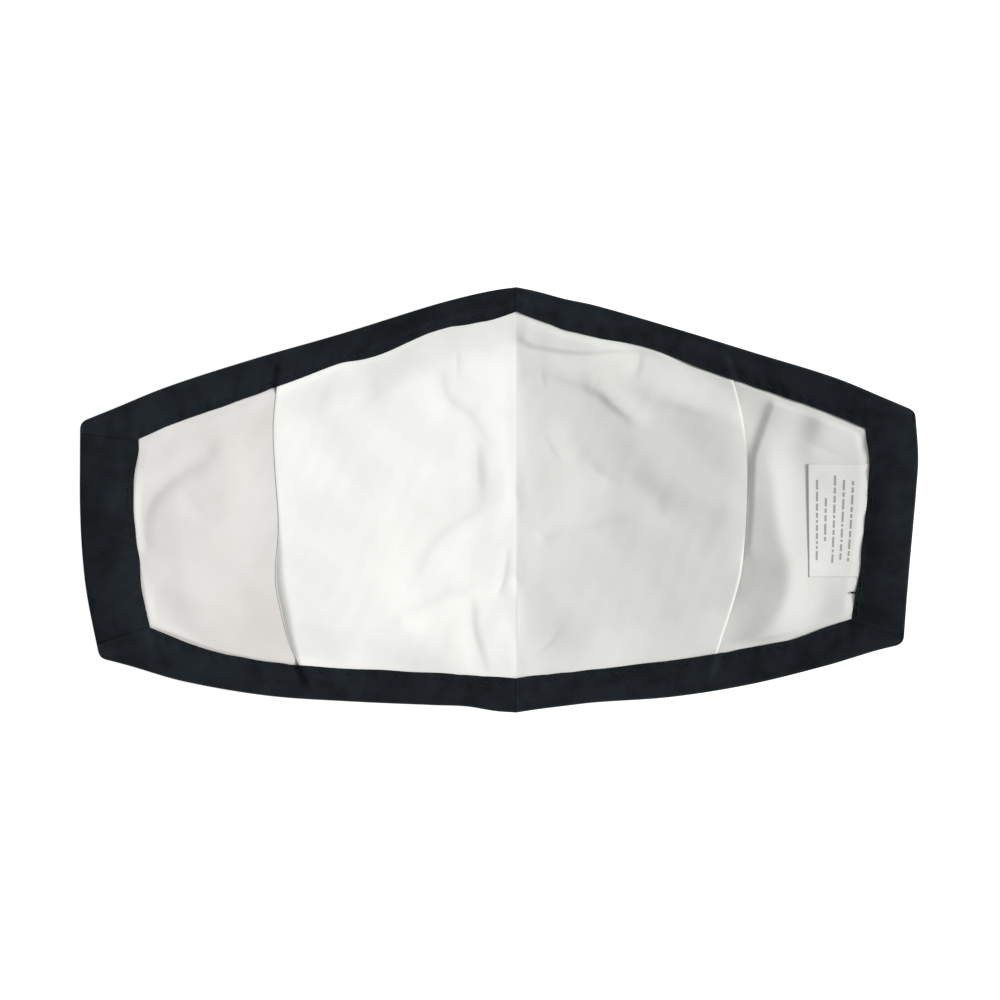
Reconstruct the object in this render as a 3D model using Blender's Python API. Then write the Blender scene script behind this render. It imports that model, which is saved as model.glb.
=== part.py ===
"""Cloth face mask with a centre seam, a filter pocket, hems and ear casings.

The mask lies on its outer face with the inside up. +X runs along its length, +Y from the chin to
the nose and +Z up. The origin is on the surface that it lies on, below the middle of its outline.
All lengths are in metres.

Every piece takes its place from one grid of columns and rows drawn over the mask. The columns run
from the centre seam out to each end, past the pocket panel's edge and the casing's inner edge, and
the rows run from the chin edge up to the nose edge. The layers lie on each other above that grid.
"""

import math
from typing import NamedTuple

import bmesh
import bpy
from mathutils import Vector

# Driving dimensions
MASK_LENGTH = 0.240
MASK_HEIGHT = 0.122
SEAM_OFFSET = 0.005
CLOTH = 0.0011
LAYER_GAP = 0.0003
TOP_HEM = 0.0100
BOTTOM_HEM = 0.0100
LEFT_CASING = 0.0158
RIGHT_CASING = 0.0146
LEFT_POCKET_REACH = 0.0690
RIGHT_POCKET_REACH = 0.0664
POCKET_HEM_EXTRA = 0.0005
END_SLANT = 0.0057
CORNER_CUT = 0.0011

# How far the dish rises above the surface, at its ends, its nose and its chin
LEFT_END_RISE = 0.0118
RIGHT_END_RISE = 0.0136
NOSE_RISE = 0.0042
CHIN_RISE = 0.0072
NOSE_FOLD_HEIGHT = 0.0425
NOSE_FOLD_ANGLE = 26.5
NOSE_FOLD_ROUND = 0.0035

# How far the lining stands off the outer cloth, and its folds
LINING_LIFT = 0.0021
FOLD_HEIGHT = 0.0021
LIFT_FADE = 0.0130
CASING_PUFF = 0.0010
POCKET_GAPE = 0.0022

# Care label
LABEL_HEIGHT = 0.0322
LABEL_WIDTH = 0.0170
LABEL_LIFT = 0.0020
LABEL_CLEARANCE = 0.0003

# Shares of the grid
FLAT_OUT_SHARE = 0.24
FLAT_UP_SHARE = 0.26
FLAT_DOWN_SHARE = 0.34
RISEN_OUT_SHARE = 1.08
RISEN_UP_SHARE = 1.05
RISEN_DOWN_SHARE = 1.10
LAYER_EDGE_SHARE = 0.56
LABEL_TOP_SHARE = 0.168
POCKET_CELLS = 10
SIDE_CELLS = 6
ROW_CELLS = 13
LABEL_COLUMNS = 5
LABEL_ROWS = 6

HALF_LENGTH = MASK_LENGTH / 2
HALF_HEIGHT = MASK_HEIGHT / 2
PLY = CLOTH + LAYER_GAP


class EdgeRow(NamedTuple):
    """A section of one half: place from seam to corner, and shares at its two edges."""

    out: float
    top: float
    bottom: float
    top_hem: float
    bottom_hem: float


class UprightRow(NamedTuple):
    """A height on the mask: how far the ends stand in, and where the pocket's edges run."""

    up: float
    left_inset: float
    right_inset: float
    left_pocket: float
    right_pocket: float


class LiftRow(NamedTuple):
    """A place from seam to end, and the share of the lining's lift there."""

    out: float
    lift: float


class Fold(NamedTuple):
    """A fold of the lining: shares of half length and half height, ridges above zero."""

    from_x: float
    from_y: float
    to_x: float
    to_y: float
    width: float
    height: float


class Side(NamedTuple):
    """One half of the mask."""

    name: str
    sign: int
    casing: float
    pocket_reach: float
    end_rise: float
    edges: tuple
    inset_column: str
    pocket_column: str


LEFT_EDGES = (
    EdgeRow(out=0.00, top=1.000, bottom=-1.000, top_hem=0.76, bottom_hem=0.97),
    EdgeRow(out=0.05, top=0.986, bottom=-0.993, top_hem=0.83, bottom_hem=0.98),
    EdgeRow(out=0.12, top=0.955, bottom=-0.971, top_hem=0.82, bottom_hem=0.91),
    EdgeRow(out=0.20, top=0.911, bottom=-0.965, top_hem=0.80, bottom_hem=0.92),
    EdgeRow(out=0.40, top=0.784, bottom=-0.948, top_hem=0.87, bottom_hem=0.97),
    EdgeRow(out=0.60, top=0.662, bottom=-0.920, top_hem=1.02, bottom_hem=1.01),
    EdgeRow(out=0.80, top=0.523, bottom=-0.852, top_hem=1.09, bottom_hem=1.17),
    EdgeRow(out=0.93, top=0.416, bottom=-0.778, top_hem=1.06, bottom_hem=1.24),
    EdgeRow(out=1.00, top=0.352, bottom=-0.742, top_hem=1.06, bottom_hem=1.24),
)
RIGHT_EDGES = (
    EdgeRow(out=0.00, top=1.000, bottom=-1.000, top_hem=0.76, bottom_hem=0.97),
    EdgeRow(out=0.05, top=0.981, bottom=-0.986, top_hem=0.83, bottom_hem=0.97),
    EdgeRow(out=0.12, top=0.946, bottom=-0.970, top_hem=0.90, bottom_hem=0.96),
    EdgeRow(out=0.20, top=0.911, bottom=-0.953, top_hem=0.90, bottom_hem=0.94),
    EdgeRow(out=0.40, top=0.803, bottom=-0.927, top_hem=0.90, bottom_hem=1.03),
    EdgeRow(out=0.60, top=0.690, bottom=-0.869, top_hem=0.99, bottom_hem=1.06),
    EdgeRow(out=0.80, top=0.568, bottom=-0.779, top_hem=1.09, bottom_hem=1.11),
    EdgeRow(out=0.93, top=0.474, bottom=-0.707, top_hem=1.10, bottom_hem=1.09),
    EdgeRow(out=1.00, top=0.418, bottom=-0.676, top_hem=1.10, bottom_hem=1.09),
)
UPRIGHTS = (
    UprightRow(up=0.00, left_inset=1.00, right_inset=0.75, left_pocket=0.885, right_pocket=0.815),
    UprightRow(up=0.15, left_inset=0.62, right_inset=0.62, left_pocket=0.922, right_pocket=0.885),
    UprightRow(up=0.35, left_inset=0.22, right_inset=0.42, left_pocket=0.968, right_pocket=0.977),
    UprightRow(up=0.50, left_inset=0.07, right_inset=0.26, left_pocket=0.985, right_pocket=0.991),
    UprightRow(up=0.66, left_inset=0.00, right_inset=0.10, left_pocket=0.996, right_pocket=1.000),
    UprightRow(up=0.80, left_inset=0.00, right_inset=0.00, left_pocket=1.000, right_pocket=0.977),
    UprightRow(up=1.00, left_inset=0.02, right_inset=0.16, left_pocket=0.957, right_pocket=0.890),
)
LINING_LIFTS = (
    LiftRow(out=0.00, lift=0.00),
    LiftRow(out=0.06, lift=0.50),
    LiftRow(out=0.15, lift=1.00),
    LiftRow(out=0.32, lift=0.85),
    LiftRow(out=0.52, lift=0.40),
    LiftRow(out=0.66, lift=0.45),
    LiftRow(out=0.80, lift=0.50),
    LiftRow(out=0.92, lift=0.00),
)
FOLDS = (
    Fold(from_x=0.100, from_y=0.615, to_x=0.320, to_y=0.371, width=0.070, height=-0.60),
    Fold(from_x=0.146, from_y=0.657, to_x=0.334, to_y=0.490, width=0.090, height=0.50),
    Fold(from_x=0.200, from_y=0.183, to_x=0.578, to_y=-0.235, width=0.110, height=-0.50),
    Fold(from_x=0.014, from_y=0.047, to_x=-0.141, to_y=-0.094, width=0.080, height=-0.45),
    Fold(from_x=-0.141, from_y=-0.094, to_x=-0.189, to_y=-0.305, width=0.080, height=-0.45),
    Fold(from_x=0.024, from_y=-0.404, to_x=-0.165, to_y=-0.493, width=0.080, height=-0.45),
    Fold(from_x=-0.165, from_y=-0.493, to_x=-0.229, to_y=-0.559, width=0.080, height=-0.35),
    Fold(from_x=-0.062, from_y=-0.470, to_x=-0.026, to_y=-0.800, width=0.070, height=-0.50),
    Fold(from_x=-0.148, from_y=0.573, to_x=-0.045, to_y=0.352, width=0.090, height=-0.40),
    Fold(from_x=-0.368, from_y=0.493, to_x=-0.303, to_y=0.400, width=0.080, height=-0.30),
    Fold(from_x=-0.862, from_y=0.085, to_x=-0.654, to_y=0.338, width=0.090, height=0.45),
    Fold(from_x=-0.660, from_y=0.350, to_x=-0.650, to_y=0.050, width=0.090, height=-0.30),
    Fold(from_x=0.649, from_y=0.455, to_x=0.612, to_y=0.094, width=0.090, height=-0.80),
    Fold(from_x=0.612, from_y=0.094, to_x=0.600, to_y=-0.211, width=0.090, height=-0.70),
    Fold(from_x=0.667, from_y=0.150, to_x=0.667, to_y=0.110, width=0.120, height=0.80),
    Fold(from_x=0.778, from_y=0.329, to_x=0.706, to_y=0.164, width=0.090, height=0.55),
    Fold(from_x=0.706, from_y=0.164, to_x=0.728, to_y=-0.469, width=0.090, height=0.55),
    Fold(from_x=0.640, from_y=-0.090, to_x=0.660, to_y=-0.560, width=0.080, height=-0.40),
)

LEFT = Side("left", -1, LEFT_CASING, LEFT_POCKET_REACH, LEFT_END_RISE, LEFT_EDGES,
            "left_inset", "left_pocket")
RIGHT = Side("right", 1, RIGHT_CASING, RIGHT_POCKET_REACH, RIGHT_END_RISE, RIGHT_EDGES,
             "right_inset", "right_pocket")


# Curves and heights

def smooth_through(rows, place_name, value_name, place):
    """Value at a place on a smooth curve through a table's column (cubic Hermite)."""
    places = [getattr(row, place_name) for row in rows]
    values = [getattr(row, value_name) for row in rows]
    place = min(max(place, places[0]), places[-1])
    last = len(rows) - 1
    slopes = []
    for index in range(last + 1):
        before = max(index - 1, 0)
        after = min(index + 1, last)
        slopes.append((values[after] - values[before]) / (places[after] - places[before]))
    cell = next(index for index in range(last) if place <= places[index + 1])
    width = places[cell + 1] - places[cell]
    t = (place - places[cell]) / width
    value = (2 * t**3 - 3 * t**2 + 1) * values[cell]
    value += (t**3 - 2 * t**2 + t) * width * slopes[cell]
    value += (3 * t**2 - 2 * t**3) * values[cell + 1]
    value += (t**3 - t**2) * width * slopes[cell + 1]
    return value


def ease(value, start, end):
    """Smooth step from 0 at start to 1 at end."""
    t = min(max((value - start) / (end - start), 0.0), 1.0)
    return t * t * (3 - 2 * t)


def bend(distance, rounding):
    """Straight rise past zero, with a round start."""
    if distance <= -rounding:
        return 0.0
    if distance >= rounding:
        return distance
    return (distance + rounding) ** 2 / (4 * rounding)


def bump(value, start, end):
    """Smooth hump between start and end, 1 at its middle."""
    t = min(max((value - start) / (end - start), 0.0), 1.0)
    return (4 * t * (1 - t)) ** 1.5


def side_at(x):
    """The half that a place belongs to."""
    return LEFT if x < SEAM_OFFSET else RIGHT


def end_x(side, up):
    """Where a half's end edge runs, at a share of the way up."""
    inset = END_SLANT * smooth_through(UPRIGHTS, "up", side.inset_column, up)
    return side.sign * (HALF_LENGTH - inset)


def pocket_x(side, up):
    """Where the pocket panel's side edge runs."""
    share = smooth_through(UPRIGHTS, "up", side.pocket_column, up)
    return SEAM_OFFSET + side.sign * side.pocket_reach * share


def casing_x(side, up):
    """Where the casing's inner edge runs."""
    return end_x(side, up) - side.sign * side.casing


def seam_x(side, up):
    """A half's own edge at the centre seam."""
    return SEAM_OFFSET + side.sign * LAYER_GAP / 2


def out_share(side, x, up):
    """Share of the way from the seam to the end, on the edge at up."""
    return abs(x - SEAM_OFFSET) / abs(end_x(side, up) - SEAM_OFFSET)


def edge_level(side, x, up):
    """Height of the outline's nose edge (up = 1) or chin edge (up = 0) at x."""
    column = "top" if up else "bottom"
    return HALF_HEIGHT * smooth_through(side.edges, "out", column, out_share(side, x, up))


def hem_width(side, x, up):
    """Width of the hem along that edge, seen from above."""
    column, width = ("top_hem", TOP_HEM) if up else ("bottom_hem", BOTTOM_HEM)
    return width * smooth_through(side.edges, "out", column, out_share(side, x, up))


def dish(x, y):
    """Height of the outer cloth's underside, flat where the mask rests."""
    side = side_at(x)
    out = abs(x - SEAM_OFFSET) / (HALF_LENGTH - side.sign * SEAM_OFFSET)
    up = y / abs(edge_level(side, x, 1 if y > 0 else 0))
    middle = 1 - 0.75 * ease(out, 0.1, 0.9)
    rise = side.end_rise * ease(out, FLAT_OUT_SHARE, RISEN_OUT_SHARE)
    rise += NOSE_RISE * ease(up, FLAT_UP_SHARE, RISEN_UP_SHARE) * middle
    rise += CHIN_RISE * ease(-up, FLAT_DOWN_SHARE, RISEN_DOWN_SHARE) * middle
    slope = math.tan(math.radians(NOSE_FOLD_ANGLE))
    return rise + slope * bend(y - NOSE_FOLD_HEIGHT, NOSE_FOLD_ROUND)


def fold_lift(x, y):
    """Sum of the lining's ridges and valleys at a place, as a share of FOLD_HEIGHT."""
    total = 0.0
    for fold in FOLDS:
        start = Vector((fold.from_x * HALF_LENGTH, fold.from_y * HALF_HEIGHT))
        along = Vector((fold.to_x * HALF_LENGTH, fold.to_y * HALF_HEIGHT)) - start
        place = Vector((x, y)) - start
        share = min(max(place.dot(along) / along.length_squared, 0.0), 1.0)
        distance = (place - along * share).length / (fold.width * HALF_HEIGHT)
        total += fold.height * math.exp(-distance * distance)
    return total


def lining_lift(x, y):
    """How far the lining stands off the outer cloth; nothing under the hems and casings."""
    side = side_at(x)
    top_room = edge_level(side, x, 1) - hem_width(side, x, 1) - y
    bottom_room = y - edge_level(side, x, 0) - hem_width(side, x, 0)
    end_room = side.sign * (casing_x(side, 0.5) - x)
    fade = ease(top_room, 0, LIFT_FADE) * ease(bottom_room, 0, LIFT_FADE)
    fade *= ease(end_room, 0, LIFT_FADE)
    out = abs(x - SEAM_OFFSET) / (HALF_LENGTH - side.sign * SEAM_OFFSET)
    lift = LINING_LIFT * smooth_through(LINING_LIFTS, "out", "lift", out)
    lift += FOLD_HEIGHT * fold_lift(x, y) * ease(out, 0.0, 0.04)
    return fade * max(lift, 0.0)


# Grid

class Column(NamedTuple):
    """One line of the grid, from the chin edge to the nose edge."""

    side: Side
    inner: object
    outer: object
    share: float

    def x(self, up):
        """Place along the mask, blended between the two lines beside it."""
        inner = self.inner(self.side, up)
        return inner + (self.outer(self.side, up) - inner) * self.share

    def point(self, row):
        """Place of a row, which is (edge, share of the hem, share of the space between)."""
        low = edge_level(self.side, self.x(0), 0)
        high = edge_level(self.side, self.x(1), 1)
        low_hem = low + hem_width(self.side, self.x(0), 0)
        high_hem = high - hem_width(self.side, self.x(1), 1)
        if row.zone == "bottom":
            y = low + (low_hem - low) * row.share
        elif row.zone == "top":
            y = high + (high_hem - high) * row.share
        else:
            y = low_hem + (high_hem - low_hem) * row.share
        return self.x((y - low) / (high - low)), y


class Row(NamedTuple):
    """One line of the grid along the mask: in the bottom hem, between, or in the top hem."""

    zone: str
    share: float


def edge_stops(width):
    """Shares of a hem or casing at which the outer cloth and the lining's layers end."""
    return (CLOTH + LAYER_GAP) / width, LAYER_EDGE_SHARE


def panel_columns(side):
    """Columns of a half from the seam to the casing's inner edge."""
    pocket = [Column(side, seam_x, pocket_x, n / POCKET_CELLS) for n in range(POCKET_CELLS)]
    between = [Column(side, pocket_x, casing_x, n / SIDE_CELLS) for n in range(SIDE_CELLS + 1)]
    return pocket + between


def casing_column(side, depth):
    """The column at a share of the casing's width in from the end edge."""
    return Column(side, end_x, casing_x, depth)


def panel_rows(bottom_share, top_share):
    """Rows of a layer whose edges lie at these shares of the two hems."""
    between = [Row("between", n / ROW_CELLS) for n in range(ROW_CELLS + 1)]
    rows = [Row("bottom", bottom_share), *between, Row("top", top_share)]
    if bottom_share < LAYER_EDGE_SHARE:
        rows.insert(1, Row("bottom", LAYER_EDGE_SHARE))
        rows.insert(-1, Row("top", LAYER_EDGE_SHARE))
    return rows


# Solids

def new_object(name, bm, material):
    """A named object from a closed mesh, with its normals pointing out."""
    bmesh.ops.recalc_face_normals(bm, faces=bm.faces[:])
    mesh = bpy.data.meshes.new(name)
    bm.to_mesh(mesh)
    bm.free()
    mesh.materials.append(material)
    mesh.shade_smooth()
    mesh.set_sharp_from_angle(angle=math.radians(40))
    obj = bpy.data.objects.new(name, mesh)
    bpy.context.scene.collection.objects.link(obj)
    return obj


def sheet_mesh(low, high):
    """Closed sheet between two grids of points that lie one above the other."""
    bm = bmesh.new()
    grids = [[[bm.verts.new(point) for point in line] for line in grid] for grid in (low, high)]
    for grid in grids:
        for left, right in zip(grid, grid[1:]):
            for n in range(len(left) - 1):
                bm.faces.new((left[n], right[n], right[n + 1]))
                bm.faces.new((left[n], right[n + 1], left[n + 1]))
    lower, upper = grids
    rims = [(lower[n], upper[n]) for n in (0, -1)]
    rims += [([line[n] for line in lower], [line[n] for line in upper]) for n in (0, -1)]
    for below, above in rims:
        for n in range(len(below) - 1):
            bm.faces.new((below[n], below[n + 1], above[n + 1], above[n]))
    return bm


def layer_mesh(columns, rows, under, over):
    """Closed sheet over a block of the grid, between two height functions."""
    places = [[column.point(row) for row in rows] for column in columns]
    low, high = (
        [[(x, y, height(x, y, n)) for x, y in line] for n, line in enumerate(places)]
        for height in (under, over)
    )
    return sheet_mesh(low, high)


def loft_mesh(loops):
    """Closed solid through sections of equal count, capped at both ends."""
    bm = bmesh.new()
    rings = [[bm.verts.new(point) for point in loop] for loop in loops]
    count = len(rings[0])
    for ring, following in zip(rings, rings[1:]):
        for n in range(count):
            m = (n + 1) % count
            bm.faces.new((ring[n], ring[m], following[m]))
            bm.faces.new((ring[n], following[m], following[n]))
    bm.faces.new(rings[0])
    bm.faces.new(rings[-1])
    return bm


def cut_off(bm, place, direction):
    """Cut away what lies past an upright plane, and close the cut."""
    geometry = bm.verts[:] + bm.edges[:] + bm.faces[:]
    cut = bmesh.ops.bisect_plane(bm, geom=geometry, dist=1e-7, plane_co=(*place, 0.0),
                                 plane_no=(*direction, 0.0), clear_outer=True)
    edges = [item for item in cut["geom_cut"] if isinstance(item, bmesh.types.BMEdge)]
    if edges:
        bmesh.ops.edgeloop_fill(bm, edges=edges)


def band_loop(outline, inner, rest, puff, width):
    """Section of a hem or casing: a lip over the layers' edge, then a strip that lies on them.

    outline and inner are its two edges seen from above, rest is the height of what it lies on
    along its inner half, puff its extra height at its middle, and width its real width.
    """
    lip = CLOTH / width
    shoulder = PLY + CLOTH
    profile = (
        (lip, 0.0),
        (0.25 * lip, 0.0),
        (0.0, 0.45 * shoulder),
        (0.2 * lip, 0.85 * shoulder),
        (lip, shoulder),
        (0.75 * LAYER_EDGE_SHARE, shoulder + puff),
        (LAYER_EDGE_SHARE, rest + CLOTH + puff),
        (0.5 + LAYER_EDGE_SHARE / 2, rest + CLOTH + 0.7 * puff),
        (1.0, rest + CLOTH),
        (1.0, rest),
        (LAYER_EDGE_SHARE - 0.06, rest + 0.5 * puff),
        (0.70 * LAYER_EDGE_SHARE, PLY + 0.5 * puff),
        (1.3 * lip, PLY),
        (lip, PLY - 0.3 * CLOTH),
    )
    loop = []
    for share, height in profile:
        place = outline.lerp(inner, share)
        loop.append((place.x, place.y, dish(place.x, place.y) + height))
    return loop


def hem_mesh(side, zone):
    """A hem from the seam to the end edge, before its mitre."""
    columns = panel_columns(side)
    stops = edge_stops(side.casing)
    columns += [casing_column(side, depth) for depth in (stops[1], stops[0], 0.0)]
    width = TOP_HEM if zone == "top" else BOTTOM_HEM
    loops = []
    for number, column in enumerate(columns):
        outline = Vector(column.point(Row(zone, 0.0)))
        inner = Vector(column.point(Row(zone, 1.0)))
        rest = 3 * PLY if number <= POCKET_CELLS else 2 * PLY
        loops.append(band_loop(outline, inner, rest, 0.0, width))
    return loft_mesh(loops)


def casing_mesh(side):
    """An ear casing from the chin edge to the nose edge, before its mitres."""
    stops = edge_stops(BOTTOM_HEM)
    rows = [Row("bottom", 0.0)] + [Row("bottom", stop) for stop in stops]
    rows += [Row("between", n / ROW_CELLS) for n in range(ROW_CELLS + 1)]
    rows += [Row("top", stop) for stop in reversed(stops)] + [Row("top", 0.0)]
    end, edge = casing_column(side, 0.0), casing_column(side, 1.0)
    loops = []
    for row in rows:
        puff = CASING_PUFF * bump(row.share, -0.05, 1.05) if row.zone == "between" else 0.0
        outline, inner = Vector(end.point(row)), Vector(edge.point(row))
        loops.append(band_loop(outline, inner, 2 * PLY, puff, side.casing))
    return loft_mesh(loops)


def corner(side, zone):
    """A corner's outer and inner points seen from above."""
    outer = Vector(casing_column(side, 0.0).point(Row(zone, 0.0)))
    inner = Vector(casing_column(side, 1.0).point(Row(zone, 1.0)))
    return outer, inner


def mitre(bm, side, zone, keep_hem):
    """Cut a hem or a casing on the line from the outer to the inner corner."""
    outer, inner = corner(side, zone)
    along = (inner - outer).normalized()
    toward_hem = Vector((-along.y, along.x))
    if toward_hem.y * (1 if zone == "top" else -1) < 0:
        toward_hem = -toward_hem
    kept = toward_hem if keep_hem else -toward_hem
    cut_off(bm, outer + kept * LAYER_GAP / 2, -kept)
    cut_off(bm, outer + along * CORNER_CUT, -along)


def build_side(side, cloth, lining):
    """All the pieces of one half except the label."""
    outer_stop = edge_stops(side.casing)[0]
    hem_stop = edge_stops(TOP_HEM)[0], edge_stops(BOTTOM_HEM)[0]
    inside = panel_columns(side)
    middle_columns = inside + [casing_column(side, LAYER_EDGE_SHARE)]
    outer_columns = middle_columns + [casing_column(side, outer_stop)]
    outer_rows = panel_rows(hem_stop[1], hem_stop[0])
    layer_rows = panel_rows(LAYER_EDGE_SHARE, LAYER_EDGE_SHARE)

    def outer_under(x, y, column):
        return dish(x, y)

    def outer_over(x, y, column):
        return dish(x, y) + CLOTH

    def middle_under(x, y, column):
        return dish(x, y) + PLY + lining_lift(x, y)

    def middle_over(x, y, column):
        return middle_under(x, y, column) + CLOTH

    def pocket_under(x, y, column):
        lift = POCKET_GAPE * ease(column, POCKET_CELLS - 3, POCKET_CELLS)
        lift *= bump(y, -0.76 * HALF_HEIGHT, 0.02 * HALF_HEIGHT) if side is LEFT else 0.0
        return middle_under(x, y, column) + PLY + lift

    def pocket_over(x, y, column):
        hem = POCKET_HEM_EXTRA if column >= POCKET_CELLS - 1 else 0.0
        bottom_room = y - edge_level(side, x, 0) - hem_width(side, x, 0)
        top_room = edge_level(side, x, 1) - hem_width(side, x, 1) - y
        hem *= ease(min(bottom_room, top_room), 0, LIFT_FADE / 2)
        return pocket_under(x, y, column) + CLOTH + hem

    name = side.name
    bm = layer_mesh(outer_columns, outer_rows, outer_under, outer_over)
    new_object(f"outer_{name}", bm, cloth)
    bm = layer_mesh(middle_columns, layer_rows, middle_under, middle_over)
    new_object(f"middle_{name}", bm, lining)
    bm = layer_mesh(inside[:POCKET_CELLS + 1], layer_rows, pocket_under, pocket_over)
    new_object(f"pocket_panel_{name}", bm, lining)
    for zone in ("top", "bottom"):
        bm = hem_mesh(side, zone)
        mitre(bm, side, zone, keep_hem=True)
        new_object(f"{zone}_hem_{name}", bm, cloth)
    bm = casing_mesh(side)
    for zone in ("top", "bottom"):
        mitre(bm, side, zone, keep_hem=False)
    new_object(f"ear_casing_{name}", bm, cloth)


def build_label(material):
    """The care label, held along the right casing's slanting inner edge, its free side lifted."""
    top = LABEL_TOP_SHARE * HALF_HEIGHT
    low, high = (edge_level(RIGHT, casing_x(RIGHT, up), up) for up in (0, 1))
    free_x = casing_x(RIGHT, (top - low) / (high - low)) - LABEL_WIDTH
    under, over = [], []
    for across in range(LABEL_COLUMNS + 1):
        free = across / LABEL_COLUMNS
        line = []
        for down in range(LABEL_ROWS + 1):
            y = top - LABEL_HEIGHT * down / LABEL_ROWS
            held_x = casing_x(RIGHT, (y - low) / (high - low)) - LABEL_CLEARANCE
            x = held_x + (free_x - held_x) * free
            z = dish(x, y) + lining_lift(x, y) + 2 * PLY + LABEL_CLEARANCE
            line.append((x, y, z + LABEL_LIFT * free**2))
        under.append(line)
        over.append([(x, y, z + CLOTH) for x, y, z in line])
    new_object("care_label", sheet_mesh(under, over), material)


# Materials

def linear(channel):
    """sRGB value of 0 to 255 as a linear share."""
    share = channel / 255
    return share / 12.92 if share <= 0.04045 else ((share + 0.055) / 1.055) ** 2.4


def cloth_material(name, colour, roughness):
    """Plain Principled material in one sRGB colour."""
    material = bpy.data.materials.new(name)
    material.use_nodes = True
    shader = material.node_tree.nodes["Principled BSDF"]
    shader.inputs["Base Color"].default_value = (*(linear(c) for c in colour), 1.0)
    shader.inputs["Roughness"].default_value = roughness
    shader.inputs["Metallic"].default_value = 0.0
    return material


def clear_scene():
    """Remove what the scene held."""
    for obj in list(bpy.data.objects):
        bpy.data.objects.remove(obj, do_unlink=True)


def main():
    """Build every piece of the mask."""
    clear_scene()
    black_cloth = cloth_material("black_cloth", (28, 33, 36), 0.85)
    white_cotton = cloth_material("white_cotton", (238, 238, 234), 0.90)
    label_tape = cloth_material("label_tape", (231, 231, 227), 0.70)
    for side in (LEFT, RIGHT):
        build_side(side, black_cloth, white_cotton)
    build_label(label_tape)


main()
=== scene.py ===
"""Dressed model of a cloth face mask that lies on its outer face with its inside up.

Every piece of cloth takes its place from one pair of cloth coordinates. u runs from the centre seam
(0) past the pocket panel's edge (1) and the ear casing's inner edge (2) to the mask's end (3). v runs
from the chin edge (-1) past the chin hem's inner edge (0) and the nose hem's inner edge (1) to the
nose edge (2). All lengths are in metres unless a name ends in _mm.
"""

from __future__ import annotations

import logging
import math
from dataclasses import dataclass, field, replace
from enum import Enum
from typing import Callable, Sequence, TypeVar

import bpy
import numpy as np
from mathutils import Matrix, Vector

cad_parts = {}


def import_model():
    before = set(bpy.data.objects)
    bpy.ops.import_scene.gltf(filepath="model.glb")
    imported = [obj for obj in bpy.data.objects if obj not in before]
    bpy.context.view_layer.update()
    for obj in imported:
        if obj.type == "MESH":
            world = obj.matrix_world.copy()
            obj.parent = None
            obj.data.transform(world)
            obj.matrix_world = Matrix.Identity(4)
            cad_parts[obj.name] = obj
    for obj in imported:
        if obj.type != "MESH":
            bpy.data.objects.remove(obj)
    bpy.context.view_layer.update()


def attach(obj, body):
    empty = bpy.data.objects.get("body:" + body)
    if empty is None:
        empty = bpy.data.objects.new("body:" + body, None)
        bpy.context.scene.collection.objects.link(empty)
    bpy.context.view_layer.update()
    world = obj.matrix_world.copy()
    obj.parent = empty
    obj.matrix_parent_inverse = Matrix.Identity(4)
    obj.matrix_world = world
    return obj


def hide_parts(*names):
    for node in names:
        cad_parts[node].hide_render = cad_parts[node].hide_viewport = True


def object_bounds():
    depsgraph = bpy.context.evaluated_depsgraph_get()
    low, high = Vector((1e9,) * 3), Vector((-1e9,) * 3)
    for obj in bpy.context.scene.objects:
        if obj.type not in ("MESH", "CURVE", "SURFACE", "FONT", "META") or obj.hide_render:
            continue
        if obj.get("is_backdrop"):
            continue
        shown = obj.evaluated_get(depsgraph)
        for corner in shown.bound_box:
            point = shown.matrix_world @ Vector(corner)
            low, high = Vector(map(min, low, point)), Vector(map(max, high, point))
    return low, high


LOG = logging.getLogger("face_mask")
MM = 0.001
Point = tuple[float, float]
Places = tuple[np.ndarray, np.ndarray]
Shape = Callable[[np.ndarray, np.ndarray, np.ndarray], np.ndarray]
Row = TypeVar("Row")


class Edge(Enum):
    """The two long edges of the mask."""

    CHIN = "chin"
    NOSE = "nose"


class Layer(Enum):
    """Which layers of the lining take part in a fold."""

    BOTH = "both"
    LINING = "lining"
    POCKET = "pocket"


class Crest(Enum):
    """The section of a fold."""

    SOFT = "soft"
    SHARP = "sharp"


BOTH, LINING, POCKET = Layer
SOFT, SHARP = Crest


@dataclass(frozen=True)
class EdgeRow:
    """A place from seam to end, and how far up and down the two edges lie there in each half."""

    out: float
    left_top: float
    left_bottom: float
    right_top: float
    right_bottom: float


@dataclass(frozen=True)
class HemRow:
    """A place from seam to end, and the widths of the two hems there."""

    out: float
    top_hem: float
    bottom_hem: float


@dataclass(frozen=True)
class UprightRow:
    """A height on the mask: how far the ends stand in, where the pocket ends, and the casings' widths."""

    up: float
    left_inset: float
    right_inset: float
    left_pocket: float
    right_pocket: float
    left_casing: float
    right_casing: float


@dataclass(frozen=True)
class LiftRow:
    """A place from seam to end, and how far the lining stands off the outer cloth there."""

    out: float
    left_mm: float
    right_mm: float


@dataclass(frozen=True)
class Fold:
    """A ridge (above zero) or valley of the lining along a smooth line through some points.

    left_mm and right_mm are the widths of its two flanks, seen in the direction of the points.
    """

    layer: Layer
    crest: Crest
    left_mm: float
    right_mm: float
    height_mm: float
    points_mm: tuple[Point, ...]


def table(kind: Callable[..., Row], *rows: tuple[object, ...]) -> tuple[Row, ...]:
    """A table whose rows are all of one kind.

    Args:
        kind: the class of a row, whose fields are the table's columns.
        rows: the values of each row, in the order of the columns.

    Returns:
        The rows.
    """
    return tuple(kind(*row) for row in rows)


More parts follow.
